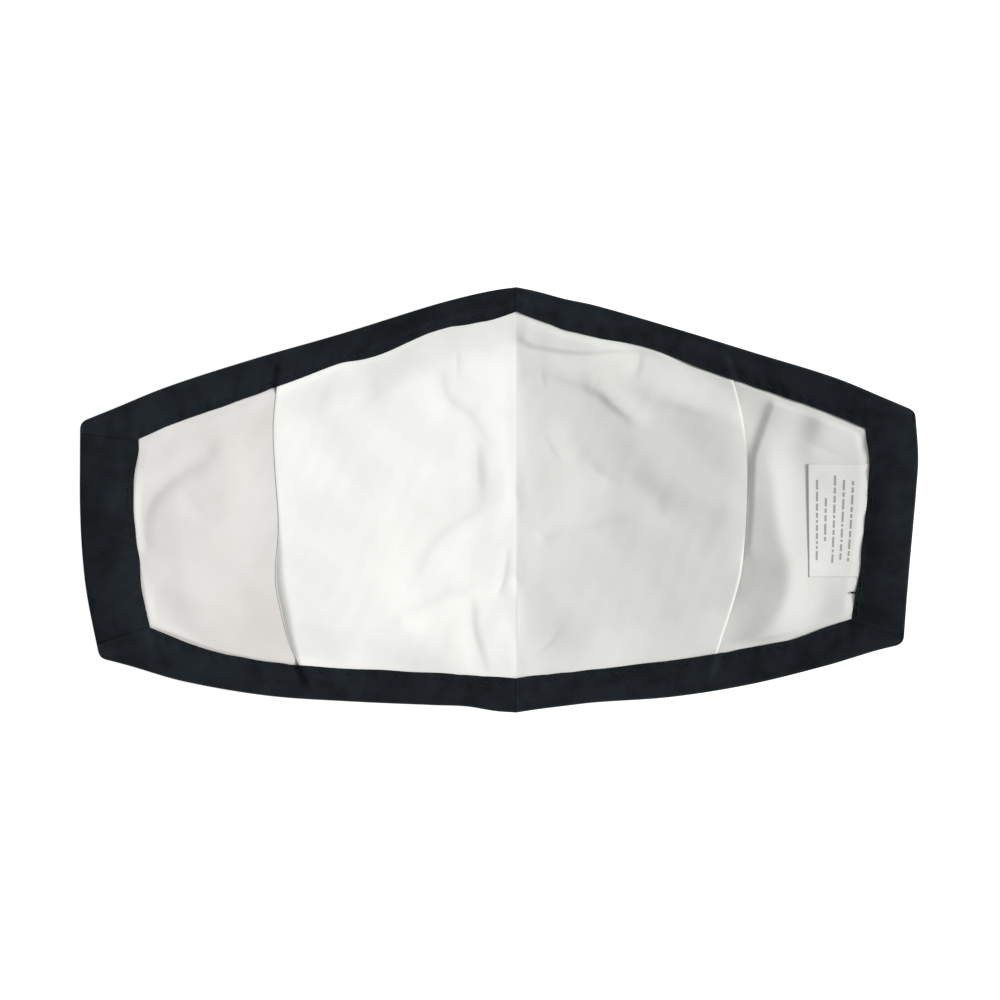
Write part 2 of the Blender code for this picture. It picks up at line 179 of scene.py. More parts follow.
EDGES = table(
    EdgeRow,  # out, left_top, left_bottom, right_top, right_bottom
    (0.00, 1.000, -1.000, 1.000, -1.000),
    (0.05, 0.986, -0.993, 0.981, -0.986),
    (0.12, 0.955, -0.971, 0.946, -0.970),
    (0.20, 0.911, -0.965, 0.914, -0.953),
    (0.40, 0.784, -0.948, 0.807, -0.927),
    (0.60, 0.666, -0.920, 0.692, -0.869),
    (0.80, 0.533, -0.852, 0.575, -0.779),
    (0.93, 0.424, -0.778, 0.474, -0.707),
    (1.00, 0.366, -0.742, 0.418, -0.676),
)
LEFT_HEMS = table(
    HemRow,  # out, top_hem, bottom_hem
    (0.00, 0.69, 0.97),
    (0.06, 0.83, 0.97),
    (0.11, 0.82, 0.91),
    (0.15, 0.77, 0.91),
    (0.20, 0.76, 0.92),
    (0.24, 0.84, 0.93),
    (0.29, 0.94, 0.95),
    (0.34, 0.95, 0.96),
    (0.40, 0.87, 0.955),
    (0.48, 0.96, 0.98),
    (0.60, 1.09, 1.05),
    (0.68, 1.13, 1.09),
    (0.75, 1.14, 1.18),
    (0.80, 1.15, 1.28),
    (0.85, 1.18, 1.35),
    (1.00, 1.18, 1.36),
)
RIGHT_HEMS = table(
    HemRow,  # out, top_hem, bottom_hem
    (0.00, 0.69, 0.97),
    (0.05, 0.80, 0.97),
    (0.12, 0.90, 0.96),
    (0.20, 0.91, 0.94),
    (0.24, 0.88, 0.97),
    (0.29, 0.83, 1.01),
    (0.34, 0.83, 1.05),
    (0.39, 0.92, 1.08),
    (0.44, 1.00, 1.09),
    (0.50, 1.04, 1.10),
    (0.60, 1.08, 1.11),
    (0.70, 1.12, 1.05),
    (0.80, 1.18, 1.14),
    (0.85, 1.20, 1.14),
    (1.00, 1.19, 1.11),
)
UPRIGHTS = table(
    UprightRow,  # up, left_inset, right_inset, left_pocket, right_pocket, left_casing, right_casing
    (0.00, 1.00, 0.75, 0.830, 0.815, 1.07, 1.03),
    (0.15, 0.62, 0.62, 0.936, 0.885, 1.07, 1.06),
    (0.26, 0.37, 0.51, 0.980, 0.938, 1.06, 1.04),
    (0.35, 0.22, 0.42, 1.001, 0.972, 1.045, 0.975),
    (0.50, 0.07, 0.26, 0.988, 0.991, 0.985, 0.945),
    (0.66, 0.00, 0.10, 1.003, 0.995, 0.98, 0.945),
    (0.80, 0.00, 0.00, 1.009, 0.972, 1.06, 1.01),
    (1.00, 0.02, 0.16, 0.975, 0.888, 1.06, 1.11),
)
LIFTS = table(
    LiftRow,  # out, left_mm, right_mm
    (0.00, 0.0, 0.0),
    (0.06, 0.6, 0.3),
    (0.15, 1.5, 1.0),
    (0.32, 2.6, 2.6),
    (0.52, 1.6, 2.9),
    (0.62, 1.2, 1.8),
    (0.76, 1.0, 0.8),
    (0.92, 0.0, 0.1),
)
FOLDS = table(
    Fold,  # layer, crest, left_mm, right_mm, height_mm, points_mm
    # Crease under the nose, where the cloth above it overlaps the cloth below
    (BOTH, SOFT, 5.5, 0.9, 1.10,
     ((8.2, 45.5), (10.3, 44.6), (17.5, 43.4), (23.2, 42.8), (29, 43), (38, 43.9), (48, 44.6))),
    (BOTH, SHARP, 1.0, 1.0, -0.16, ((-45.5, 39.5), (-28.4, 40.1), (-19.8, 41.5), (-7, 43.5))),
    (POCKET, SHARP, 0.6, 2.0, -0.14, ((-12, 42.4), (-11.8, 35.8))),
    (POCKET, SOFT, 1.2, 3.0, -0.26, ((40.4, 41.5), (39.2, 36.5))),
    # Stroke that falls from the seam towards the right, soft first and then crisp
    (BOTH, SOFT, 4.0, 1.9, 0.40, ((12, 36.7), (17.5, 36.1), (21.8, 34.6), (27.5, 32))),
    (BOTH, SOFT, 4.2, 1.6, 0.88, ((27, 32.4), (29.7, 31), (33, 27.9), (37.6, 24.2))),
    (POCKET, SHARP, 0.5, 1.8, -0.14, ((12.3, 37.2), (12.9, 32.9))),
    (BOTH, SOFT, 4.5, 2.1, 0.45, ((44, 29.2), (52, 28.2), (60, 26), (66, 25))),
    # Left half of the pocket panel
    (BOTH, SOFT, 8.0, 11.0, 0.70, ((-33, 42), (-33, 18))),
    (BOTH, SOFT, 16.0, 16.0, 1.40, ((-43, -12), (-41, -38))),
    (BOTH, SOFT, 11.0, 14.0, -1.10, ((-11, 6), (-10, -34))),
    (BOTH, SOFT, 3.0, 1.5, -0.20, ((-44, 26.3), (-37, 29.2), (-36, 31.5))),
    (BOTH, SOFT, 1.7, 4.0, -0.28, ((-16.9, 34.4), (-15.2, 28.6), (-8.3, 22.9), (-4.6, 17.2))),
    (BOTH, SOFT, 2.0, 4.5, -0.50, ((-6.8, 15), (-6.2, 3))),
    (BOTH, SOFT, 5.0, 2.2, 0.40, ((-1.4, -2.3), (-11.2, -8), (-17.5, -13.5), (-20.6, -19.5))),
    (BOTH, SOFT, 3.4, 2.2, 0.44, ((1, -24.6), (-6.9, -26.3), (-16.5, -29.5), (-27.2, -34.6))),
    (BOTH, SOFT, 2.5, 2.5, -0.15, ((-34, -37.8), (-19.8, -41.5), (-8.3, -44.4))),
    (BOTH, SOFT, 1.5, 4.0, -0.48, ((-8.2, -30), (-7.7, -37), (-6.2, -43), (-4.2, -50))),
    # Along the centre seam, where the two halves of the panel pull on each other
    (POCKET, SOFT, 1.8, 4.0, -0.15, ((5.2, 46.5), (5.4, 36), (5.6, 26), (5.4, 11.5))),
    (POCKET, SHARP, 1.6, 6.0, -0.34, ((4.6, 3), (5.3, -1), (5.5, -8), (5.4, -14))),
    (POCKET, SHARP, 0.7, 2.6, -0.44, ((2.4, -14.5), (1.8, -20), (1, -24), (0.2, -26))),
    (POCKET, SHARP, 0.6, 1.6, -0.18, ((4.6, -21.5), (5.7, -24))),
    (POCKET, SHARP, 0.5, 0.5, 0.12, ((5.2, -28), (5.2, -40))),
    # Right half of the pocket panel
    (BOTH, SOFT, 9.0, 16.0, -1.20, ((29.5, 6), (31.5, -8))),
    (POCKET, SOFT, 0.8, 2.4, -0.12, ((13.2, 17.2), (16.6, 11.5))),
    (BOTH, SOFT, 5.0, 6.0, -0.95,
     ((20, 17.2), (21.6, 13.5), (23.4, 10), (27.8, 6.6), (37.2, 5), (42.1, 1.4), (49, -2.6),
      (57.6, -5))),
    (POCKET, SOFT, 1.2, 1.2, -0.14, ((26.5, 10), (29.8, 6.6), (34, 5))),
    (BOTH, SOFT, 3.0, 2.2, -0.40, ((13.2, -10), (18.9, -7.2), (26.1, -6), (36.1, -3.4), (45, -2.6))),
    (POCKET, SHARP, 0.6, 1.6, -0.10, ((11.7, -10), (13.7, -11.5))),
    (POCKET, SHARP, 0.7, 2.4, -0.20, ((16.6, -38.1), (14.3, -41), (11.5, -43.2))),
    # Left side panel
    (LINING, SOFT, 2.8, 3.6, -0.90,
     ((-84, 12.9), (-92.8, 7.2), (-100, 1.4), (-102.8, -5.7), (-102.5, -12))),
    (LINING, SOFT, 8.0, 7.0, 0.60, ((-78, 30), (-77.5, -4))),
    (LINING, SOFT, 2.4, 2.4, -0.18, ((-89, 0.5), (-86, -4))),
    # Right side panel
    (LINING, SOFT, 26.0, 4.0, -2.00, ((68, 32), (69, 16))),
    (LINING, SOFT, 8.0, 1.8, 1.25,
     ((79.6, 28.5), (77.4, 22.3), (75.2, 15.8), (74, 11.9), (73.7, 7.7), (73.5, 2.6), (73.3, -3),
      (72.6, -13))),
    (LINING, SHARP, 9.0, 9.0, 2.90,
     ((78, 9), (78.8, 2), (79.6, -5.2), (80.8, -12.1), (82.9, -19.1), (82.6, -24.3), (81.5, -28.8),
      (79, -33.6), (73.8, -39.9))),
    (LINING, SOFT, 8.0, 8.0, -1.10, ((66, -10), (65, -38))),
    (LINING, SOFT, 8.0, 4.2, 1.30, ((93.8, 25), (92.6, 20), (90.6, 15.4))),
    (LINING, SOFT, 5.0, 6.0, -0.70, ((92.5, -20), (91.5, -30), (90, -36))),
    (LINING, SOFT, 1.0, 1.6, -0.60, ((104.2, 22), (105, 14.5))),
)


# Curves and noise


class Curve:
    """Smooth curve through two named columns of a short table (cubic Hermite)."""

    def __init__(self, rows: Sequence[object], place: str, value: str) -> None:
        """Read the columns.

        Args:
            rows: the table's rows, in order of place.
            place: name of the column that holds the places.
            value: name of the column that holds the values.
        """
        self.places = np.array([getattr(row, place) for row in rows])
        self.values = np.array([getattr(row, value) for row in rows])
        index = np.arange(len(rows))
        before = np.maximum(index - 1, 0)
        after = np.minimum(index + 1, len(rows) - 1)
        rise = self.values[after] - self.values[before]
        self.slopes = rise / (self.places[after] - self.places[before])

    def __call__(self, place: np.ndarray) -> np.ndarray:
        """Read the curve, which is held at the table's ends.

        Args:
            place: places to read it at.

        Returns:
            The value at each place.
        """
        place = np.clip(place, self.places[0], self.places[-1])
        cell = np.searchsorted(self.places, place, side="right") - 1
        cell = np.clip(cell, 0, len(self.places) - 2)
        width = self.places[cell + 1] - self.places[cell]
        t = (place - self.places[cell]) / width
        value = (2 * t**3 - 3 * t**2 + 1) * self.values[cell]
        value += (t**3 - 2 * t**2 + t) * width * self.slopes[cell]
        value += (3 * t**2 - 2 * t**3) * self.values[cell + 1]
        value += (t**3 - t**2) * width * self.slopes[cell + 1]
        return value


def ease(value: np.ndarray, start: float, end: float) -> np.ndarray:
    """Smooth step from 0 at start to 1 at end."""
    t = np.clip((value - start) / (end - start), 0.0, 1.0)
    return t * t * (3 - 2 * t)


def hump(value: np.ndarray, start: float, end: float) -> np.ndarray:
    """Smooth hump between start and end, 1 at its middle."""
    t = np.clip((value - start) / (end - start), 0.0, 1.0)
    return (4 * t * (1 - t)) ** 1.5


def bend(distance: np.ndarray, rounding: float) -> np.ndarray:
    """Straight rise past zero, with a round start."""
    inside = (np.clip(distance, -rounding, rounding) + rounding) ** 2 / (4 * rounding)
    return np.where(distance >= rounding, distance, inside)


def soft_floor(value: np.ndarray, floor: float, blend: float) -> np.ndarray:
    """Value that doesn't sink below a floor, and meets it without a kink."""
    above = (value - floor) / blend
    return floor + blend * np.logaddexp(0.0, above)


@dataclass(frozen=True)
class Ripple:
    """Soft unevenness of cloth that has been washed and handled: a sum of seeded waves."""

    seed: int
    shortest: float
    longest: float
    height: float
    waves: int = 26

    def __call__(self, x: np.ndarray, y: np.ndarray) -> np.ndarray:
        """Height at each place.

        Args:
            x: places along the mask.
            y: places across it.

        Returns:
            Heights whose spread is the field height.
        """
        random = np.random.default_rng(self.seed)
        total = np.zeros(np.broadcast(x, y).shape)
        for _ in range(self.waves):
            length = self.shortest * (self.longest / self.shortest) ** random.random()
            angle = random.random() * math.tau
            phase = random.random() * math.tau
            along = x * math.cos(angle) + y * math.sin(angle)
            total += np.sin(math.tau * along / length + phase)
        return total * self.height / math.sqrt(self.waves / 2)


# Meshes


def drawn_cell(cell: float) -> float:
    return cell * 1


def new_piece(name: str, points: np.ndarray, faces: Sequence[Sequence[int]],
              material: bpy.types.Material) -> bpy.types.Object:
    """Make a piece with smooth faces that rides on the mask's body.

    Args:
        name: the piece's name.
        points: its vertices, one row each.
        faces: vertex numbers of each face.
        material: its finish.

    Returns:
        The linked object.
    """
    mesh = bpy.data.meshes.new(name)
    mesh.from_pydata(points.tolist(), [], faces)
    mesh.materials.append(material)
    mesh.shade_smooth()
    piece = bpy.data.objects.new(name, mesh)
    bpy.context.scene.collection.objects.link(piece)
    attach(piece, "root")
    LOG.info("%s: %d vertices, %d faces", name, len(mesh.vertices), len(mesh.polygons))
    return piece


def quads(first: np.ndarray, second: np.ndarray) -> np.ndarray:
    """Faces between two lines of vertex numbers."""
    return np.stack([first[:-1], second[:-1], second[1:], first[1:]], axis=-1).reshape(-1, 4)


def sheet_faces(columns: int, rows: int, forward: bool) -> np.ndarray:
    """Faces of a closed sheet whose under grid comes first in the list of vertices.

    Args:
        columns: lines of the grid along the mask.
        rows: lines of the grid across it.
        forward: whether the columns run towards +X, which sets the way the faces turn.

    Returns:
        One row of four vertex numbers a face.
    """
    under = np.arange(columns * rows).reshape(columns, rows)
    over = under + columns * rows
    parts = [quads(over[n], over[n + 1]) for n in range(columns - 1)]
    parts += [quads(under[n + 1], under[n]) for n in range(columns - 1)]
    parts += [quads(under[0], over[0]), quads(over[-1], under[-1])]
    parts += [quads(over[:, 0], under[:, 0]), quads(under[:, -1], over[:, -1])]
    faces = np.concatenate(parts)
    return faces if forward else faces[:, ::-1]


def new_sheet(name: str, x: np.ndarray, y: np.ndarray, low: np.ndarray, high: np.ndarray,
              forward: bool, material: bpy.types.Material) -> bpy.types.Object:
    """Make a closed sheet between two heights over a grid of places.

    Args:
        name: the piece's name.
        x: places along the mask, a line of the grid in each row.
        y: places across it.
        low: heights of the underside.
        high: heights of the top.
        forward: whether the lines run towards +X.
        material: its finish.

    Returns:
        The piece.
    """
    points = np.concatenate([np.stack([x, y, z], axis=-1).reshape(-1, 3) for z in (low, high)])
    return new_piece(name, points, sheet_faces(*x.shape, forward=forward).tolist(), material)


def loft_faces(loops: int, count: int, forward: bool) -> list[list[int]]:
    """Faces of a closed loft, with one face over each end.

    Args:
        loops: number of sections.
        count: vertices in a section.
        forward: whether the sections run in the direction that turns their faces outwards.

    Returns:
        Vertex numbers of each face.
    """
    ring = np.arange(loops * count).reshape(loops, count)
    closed = np.concatenate([ring, ring[:, :1]], axis=1)
    faces = np.concatenate([quads(closed[n], closed[n + 1]) for n in range(loops - 1)])
    caps = [ring[0, ::-1], ring[-1]]
    if not forward:
        faces = faces[:, ::-1]
        caps = [cap[::-1] for cap in caps]
    return faces.tolist() + [cap.tolist() for cap in caps]


# Cut of the mask


@dataclass(frozen=True)
class Half:
    """One half of the mask, with the sizes in which it differs from the other."""

    name: str
    sign: int
    casing: float
    pocket_reach: float
    end_rise: float
    top: Curve
    bottom: Curve
    top_hem: Curve
    bottom_hem: Curve
    inset: Curve
    pocket: Curve
    casing_share: Curve
    lift: Curve

    @classmethod
    def cut(cls, name: str, sign: int, casing: float, pocket_reach: float, end_rise: float,
            hems: Sequence[HemRow]) -> Half:
        """Take a half's curves from the tables.

        Args:
            name: left or right, as the columns' names say it.
            sign: -1 or 1, the side of the seam that it lies on.
            casing: width of its casing.
            pocket_reach: distance from the seam to the pocket's open edge.
            end_rise: height of its end off the table.
            hems: rows for its hems.

        Returns:
            The half.
        """
        return cls(name, sign, casing, pocket_reach, end_rise,
                   top=Curve(EDGES, "out", f"{name}_top"),
                   bottom=Curve(EDGES, "out", f"{name}_bottom"),
                   top_hem=Curve(hems, "out", "top_hem"),
                   bottom_hem=Curve(hems, "out", "bottom_hem"),
                   inset=Curve(UPRIGHTS, "up", f"{name}_inset"),
                   pocket=Curve(UPRIGHTS, "up", f"{name}_pocket"),
                   casing_share=Curve(UPRIGHTS, "up", f"{name}_casing"),
                   lift=Curve(LIFTS, "out", f"{name}_mm"))


@dataclass
class Cut:
    """The mask's cut and the shape it lies in, at the frame's own size.

    A span is the stretch, in shares of the way to the end or the edge, over which something comes in:
    the rise of the ends, of the nose edge and of the chin edge, and the loss of the edges' rise.
    """

    half_length: float
    half_height: float
    seam: float = 0.0050
    ply: float = 0.0014
    cloth: float = 0.0011
    top_hem: float = 0.0100
    bottom_hem: float = 0.0100
    end_slant: float = 0.0057
    nose_rise: float = 0.0042
    chin_rise: float = 0.0072
    nose_fold_height: float = 0.0425
    nose_fold_slope: float = 0.38
    nose_fold_round: float = 0.0035
    lift_fade: float = 0.0130
    fold_fade: float = 0.0026
    tuck_sink: float = 0.0005
    tuck_width: float = 0.0012
    edge_loss: float = 0.75
    loss_span: Point = (0.1, 0.9)
    end_span: Point = (0.24, 1.08)
    nose_span: Point = (0.26, 1.05)
    chin_span: Point = (0.34, 1.10)
    left: Half = field(default_factory=lambda: Half.cut(
        "left", sign=-1, casing=0.0158, pocket_reach=0.0690, end_rise=0.0118, hems=LEFT_HEMS))
    right: Half = field(default_factory=lambda: Half.cut(
        "right", sign=1, casing=0.0146, pocket_reach=0.0664, end_rise=0.0136, hems=RIGHT_HEMS))

    @classmethod
    def from_frame(cls) -> Cut:
        """Read the mask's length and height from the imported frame."""
        low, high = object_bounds()
        return cls(half_length=(high.x - low.x) / 2, half_height=(high.y - low.y) / 2)

    def end_x(self, half: Half, up: np.ndarray) -> np.ndarray:
        """Where a half's end edge runs, at a share of the way up."""
        return half.sign * (self.half_length - self.end_slant * half.inset(up))

    def line_x(self, half: Half, u: np.ndarray, up: np.ndarray) -> np.ndarray:
        """Find where a line of cloth coordinates runs.

        Args:
            half: the half of the mask.
            u: coordinates from the seam to the end.
            up: shares of the way up from the chin edge to the nose edge.

        Returns:
            Places along the mask.
        """
        pocket = half.sign * half.pocket_reach * half.pocket(up)
        width = half.sign * half.casing * half.casing_share(up)
        casing = self.end_x(half, up) - width - self.seam
        total = self.seam + pocket * np.clip(u, 0, 1)
        total = total + (casing - pocket) * np.clip(u - 1, 0, 1)
        return total + width * np.clip(u - 2, 0, 1)

    def straight_out(self, half: Half, x: np.ndarray) -> np.ndarray:
        """Share of the way from the seam to the end of the frame."""
        return np.abs(x - self.seam) / (self.half_length - half.sign * self.seam)

    def out(self, half: Half, x: np.ndarray, up: float) -> np.ndarray:
        """Share of the way from the seam to the end, on the edge at up."""
        return np.abs(x - self.seam) / np.abs(self.end_x(half, np.array(up)) - self.seam)

    def level(self, half: Half, x: np.ndarray, edge: Edge) -> np.ndarray:
        """Height across the mask of its nose edge or chin edge."""
        curve, up = (half.top, 1.0) if edge is Edge.NOSE else (half.bottom, 0.0)
        return self.half_height * curve(self.out(half, x, up))

    def hem(self, half: Half, x: np.ndarray, edge: Edge) -> np.ndarray:
        """Width of the hem along an edge, seen from above."""
        nose = edge is Edge.NOSE
        width, share = (self.top_hem, half.top_hem) if nose else (self.bottom_hem, half.bottom_hem)
        return width * share(self.out(half, x, 1.0 if nose else 0.0))

    def place(self, half: Half, u: np.ndarray, v: np.ndarray) -> Places:
        """Turn cloth coordinates into places seen from above.

        Args:
            half: the half of the mask.
            u: coordinates from the seam to the end.
            v: coordinates from the chin edge to the nose edge.

        Returns:
            Places along and across the mask.
        """
        at_chin = self.line_x(half, u, np.array(0.0))
        at_nose = self.line_x(half, u, np.array(1.0))
        low, high = self.level(half, at_chin, Edge.CHIN), self.level(half, at_nose, Edge.NOSE)
        low_hem, high_hem = self.hem(half, at_chin, Edge.CHIN), self.hem(half, at_nose, Edge.NOSE)
        y = low + low_hem * np.clip(v + 1, 0, 1) + high_hem * np.clip(v - 1, 0, 1)
        y = y + (high - high_hem - low - low_hem) * np.clip(v, 0, 1)
        return self.line_x(half, u, (y - low) / (high - low)), y

    def dish(self, half: Half, x: np.ndarray, y: np.ndarray) -> np.ndarray:
        """Shape the dish, which is flat where the mask rests.

        Args:
            half: the half of the mask.
            x: places along the mask.
            y: places across it.

        Returns:
            Heights of the outer cloth's underside.
        """
        out = self.straight_out(half, x)
        nose, chin = self.level(half, x, Edge.NOSE), self.level(half, x, Edge.CHIN)
        up = y / np.abs(np.where(y > 0, nose, chin))
        middle = 1 - self.edge_loss * ease(out, *self.loss_span)
        rise = half.end_rise * ease(out, *self.end_span)
        rise += self.nose_rise * ease(up, *self.nose_span) * middle
        rise += self.chin_rise * ease(-up, *self.chin_span) * middle
        return rise + self.nose_fold_slope * bend(y - self.nose_fold_height, self.nose_fold_round)

    def room(self, half: Half, x: np.ndarray, y: np.ndarray) -> Places:
        """Measure how far places lie inside the black bands.

        Args:
            half: the half of the mask.
            x: places along the mask.
            y: places across it.

        Returns:
            Distances to the nearer hem's inner edge and to the casing's, below zero under them.
        """
        low, high = self.level(half, x, Edge.CHIN), self.level(half, x, Edge.NOSE)
        top = high - self.hem(half, x, Edge.NOSE) - y
        bottom = y - low - self.hem(half, x, Edge.CHIN)
        casing = self.line_x(half, np.array(2.0), np.clip((y - low) / (high - low), 0, 1))
        return np.minimum(top, bottom), half.sign * (casing - x)

    def sink(self, half: Half, x: np.ndarray, y: np.ndarray) -> np.ndarray:
        """How far the layers sink under a hem or casing that is sewn down on them."""
        across, beside = self.room(half, x, y)
        return self.tuck_sink * ease(-np.minimum(across, beside), 0.0, self.tuck_width)


@dataclass
class Relief:
    """The lining's folds over the cut: how far its layers stand off the outer cloth.

    soft_reach and sharp_reach say after how many flank widths a fold is cut off, end_height is its
    height at its line's ends, as a share, and overrun is how far it would run on past them.
    """

    cut: Cut
    steps: int = 7
    broad_mm: float = 12.0
    soft_reach: float = 3.0
    sharp_reach: float = 7.0
    sharp_round: float = 0.2
    end_height: float = 0.45
    overrun: float = 0.15
    lowest: float = -0.0005
    floor_blend: float = 0.00012
    seam_calm: float = 0.03
    ripples: tuple[Ripple, ...] = (
        Ripple(seed=11, shortest=0.016, longest=0.045, height=0.00010),
        Ripple(seed=12, shortest=0.005, longest=0.012, height=0.000014),
    )

    def smooth_line(self, points: np.ndarray) -> np.ndarray:
        """Run a smooth line through a fold's points.

        Args:
            points: the fold's points, one row each.

        Returns:
            Points on the line. Two points give a straight line, and stay as they are.
        """
        if len(points) < 3:
            return points
        padded = np.concatenate([[2 * points[0] - points[1]], points, [2 * points[-1] - points[-2]]])
        t = np.linspace(0, 1, self.steps, endpoint=False)[:, None]
        line = []
        for a, b, c, d in zip(padded, padded[1:], padded[2:], padded[3:]):
            line.append(0.5 * (2 * b + (c - a) * t + (2 * a - 5 * b + 4 * c - d) * t**2
                               + (3 * b - a - 3 * c + d) * t**3))
        return np.concatenate([*line, points[-1:]])

    def distance(self, x: np.ndarray, y: np.ndarray,
                 line: np.ndarray) -> tuple[np.ndarray, np.ndarray, np.ndarray]:
        """Distance of each place from a line, its side and the share of the line beside it.

        Args:
            x: places along the mask.
            y: places across it.
            line: the line's points.

        Returns:
            Distances, sides from 1 (left of the line) to -1 (right of it), and shares.
        """
        best = np.full(x.shape, np.inf)
        side = np.zeros(x.shape)
        share = np.zeros(x.shape)
        lengths = np.hypot(*(line[1:] - line[:-1]).T)
        starts = np.concatenate([[0.0], np.cumsum(lengths)])
        for number, (start, end) in enumerate(zip(line, line[1:])):
            along = (end - start) / lengths[number]
            gone = (x - start[0]) * along[0] + (y - start[1]) * along[1]
            gone = np.clip(gone, 0, lengths[number])
            off_x, off_y = x - start[0] - along[0] * gone, y - start[1] - along[1] * gone
            away = np.hypot(off_x, off_y)
            turn = (along[0] * off_y - along[1] * off_x) / np.maximum(away, 1e-9)
            nearer = away < best
            best = np.where(nearer, away, best)
            side = np.where(nearer, turn, side)
            share = np.where(nearer, (starts[number] + gone) / starts[-1], share)
        return best, side, share

    def folds(self, x: np.ndarray, y: np.ndarray, layers: Sequence[Layer], broad: bool) -> np.ndarray:
        """Add up the broad or the narrow folds of some layers.

        Args:
            x: places along the mask.
            y: places across it.
            layers: the layers whose folds count.
            broad: whether the folds wider than broad_mm count, or the others.

        Returns:
            The folds' height at each place.
        """
        total = np.zeros(x.shape)
        for item in FOLDS:
            if (max(item.left_mm, item.right_mm) > self.broad_mm) != broad:
                continue
            line = self.smooth_line(np.array(item.points_mm) * MM)
            reach = max(item.left_mm, item.right_mm) * MM
            reach *= self.soft_reach if item.crest is SOFT else self.sharp_reach
            near = (x > line[:, 0].min() - reach) & (x < line[:, 0].max() + reach)
            near &= (y > line[:, 1].min() - reach) & (y < line[:, 1].max() + reach)
            if item.layer not in layers or not near.any():
                continue
            away, side, share = self.distance(x[near], y[near], line)
            width = 0.5 * (item.left_mm + item.right_mm + side * (item.left_mm - item.right_mm))
            away = away / (width * MM)
            if item.crest is SOFT:
                section = np.exp(-away * away)
            else:
                section = np.exp(self.sharp_round - np.hypot(away, self.sharp_round))
            along = hump(share, -self.overrun, 1 + self.overrun)
            fade = self.end_height + (1 - self.end_height) * along
            total[near] += item.height_mm * MM * fade * section
        return total

    def lift(self, half: Half, x: np.ndarray, y: np.ndarray, layers: Sequence[Layer]) -> np.ndarray:
        """How far the layers stand off the outer cloth.

        Args:
            half: the half of the mask.
            x: places along the mask.
            y: places across it.
            layers: the layers whose folds count.

        Returns:
            Heights above the place where the layers would lie flat on each other.
        """
        across, beside = self.cut.room(half, x, y)
        fade = ease(across, 0, self.cut.lift_fade) * ease(beside, 0, self.cut.lift_fade)
        near = ease(across, 0, self.cut.fold_fade) * ease(beside, 0, self.cut.fold_fade)
        out = self.cut.straight_out(half, x)
        lift = fade * (half.lift(out) * MM + self.folds(x, y, layers, broad=True))
        uneven = sum(ripple(x, y) for ripple in self.ripples) * ease(out, 0.0, self.seam_calm)
        lift += near * (self.folds(x, y, layers, broad=False) + uneven)
        return soft_floor(lift, self.lowest, self.floor_blend)


# Finishes


def linear(code: str) -> tuple[float, float, float, float]:
    """An sRGB hex colour as linear red, green, blue and 1."""
    shares = (int(code[n:n + 2], 16) / 255 for n in (1, 3, 5))
    return (*(s / 12.92 if s <= 0.04045 else ((s + 0.055) / 1.055) ** 2.4 for s in shares), 1.0)


def add_node(tree: bpy.types.NodeTree, kind: str, links: dict[object, object] | None = None,
             **settings: object) -> bpy.types.Node:
    """Add one node with its settings and what goes into it.

    Args:
        tree: the material's node tree.
        kind: the node's type.
        links: for each input, a value or the output socket that feeds it.
        settings: the node's own properties.

    Returns:
        The node.
    """
    node = tree.nodes.new(kind)
    for name, value in settings.items():
        setattr(node, name, value)
    for key, value in (links or {}).items():
        if isinstance(value, bpy.types.NodeSocket):
            tree.links.new(value, node.inputs[key])
        else:
            node.inputs[key].default_value = value
    return node


def principled(name: str, inputs: dict[str, object]) -> bpy.types.Material:
    """Make a material with a Principled shader.

    Args:
        name: the material's name.
        inputs: values for the shader's inputs.

    Returns:
        The material.
    """
    material = bpy.data.materials.new(name)
    material.use_nodes = True
    shader = material.node_tree.nodes["Principled BSDF"]
    for key, value in inputs.items():
        shader.inputs[key].default_value = value
    return material


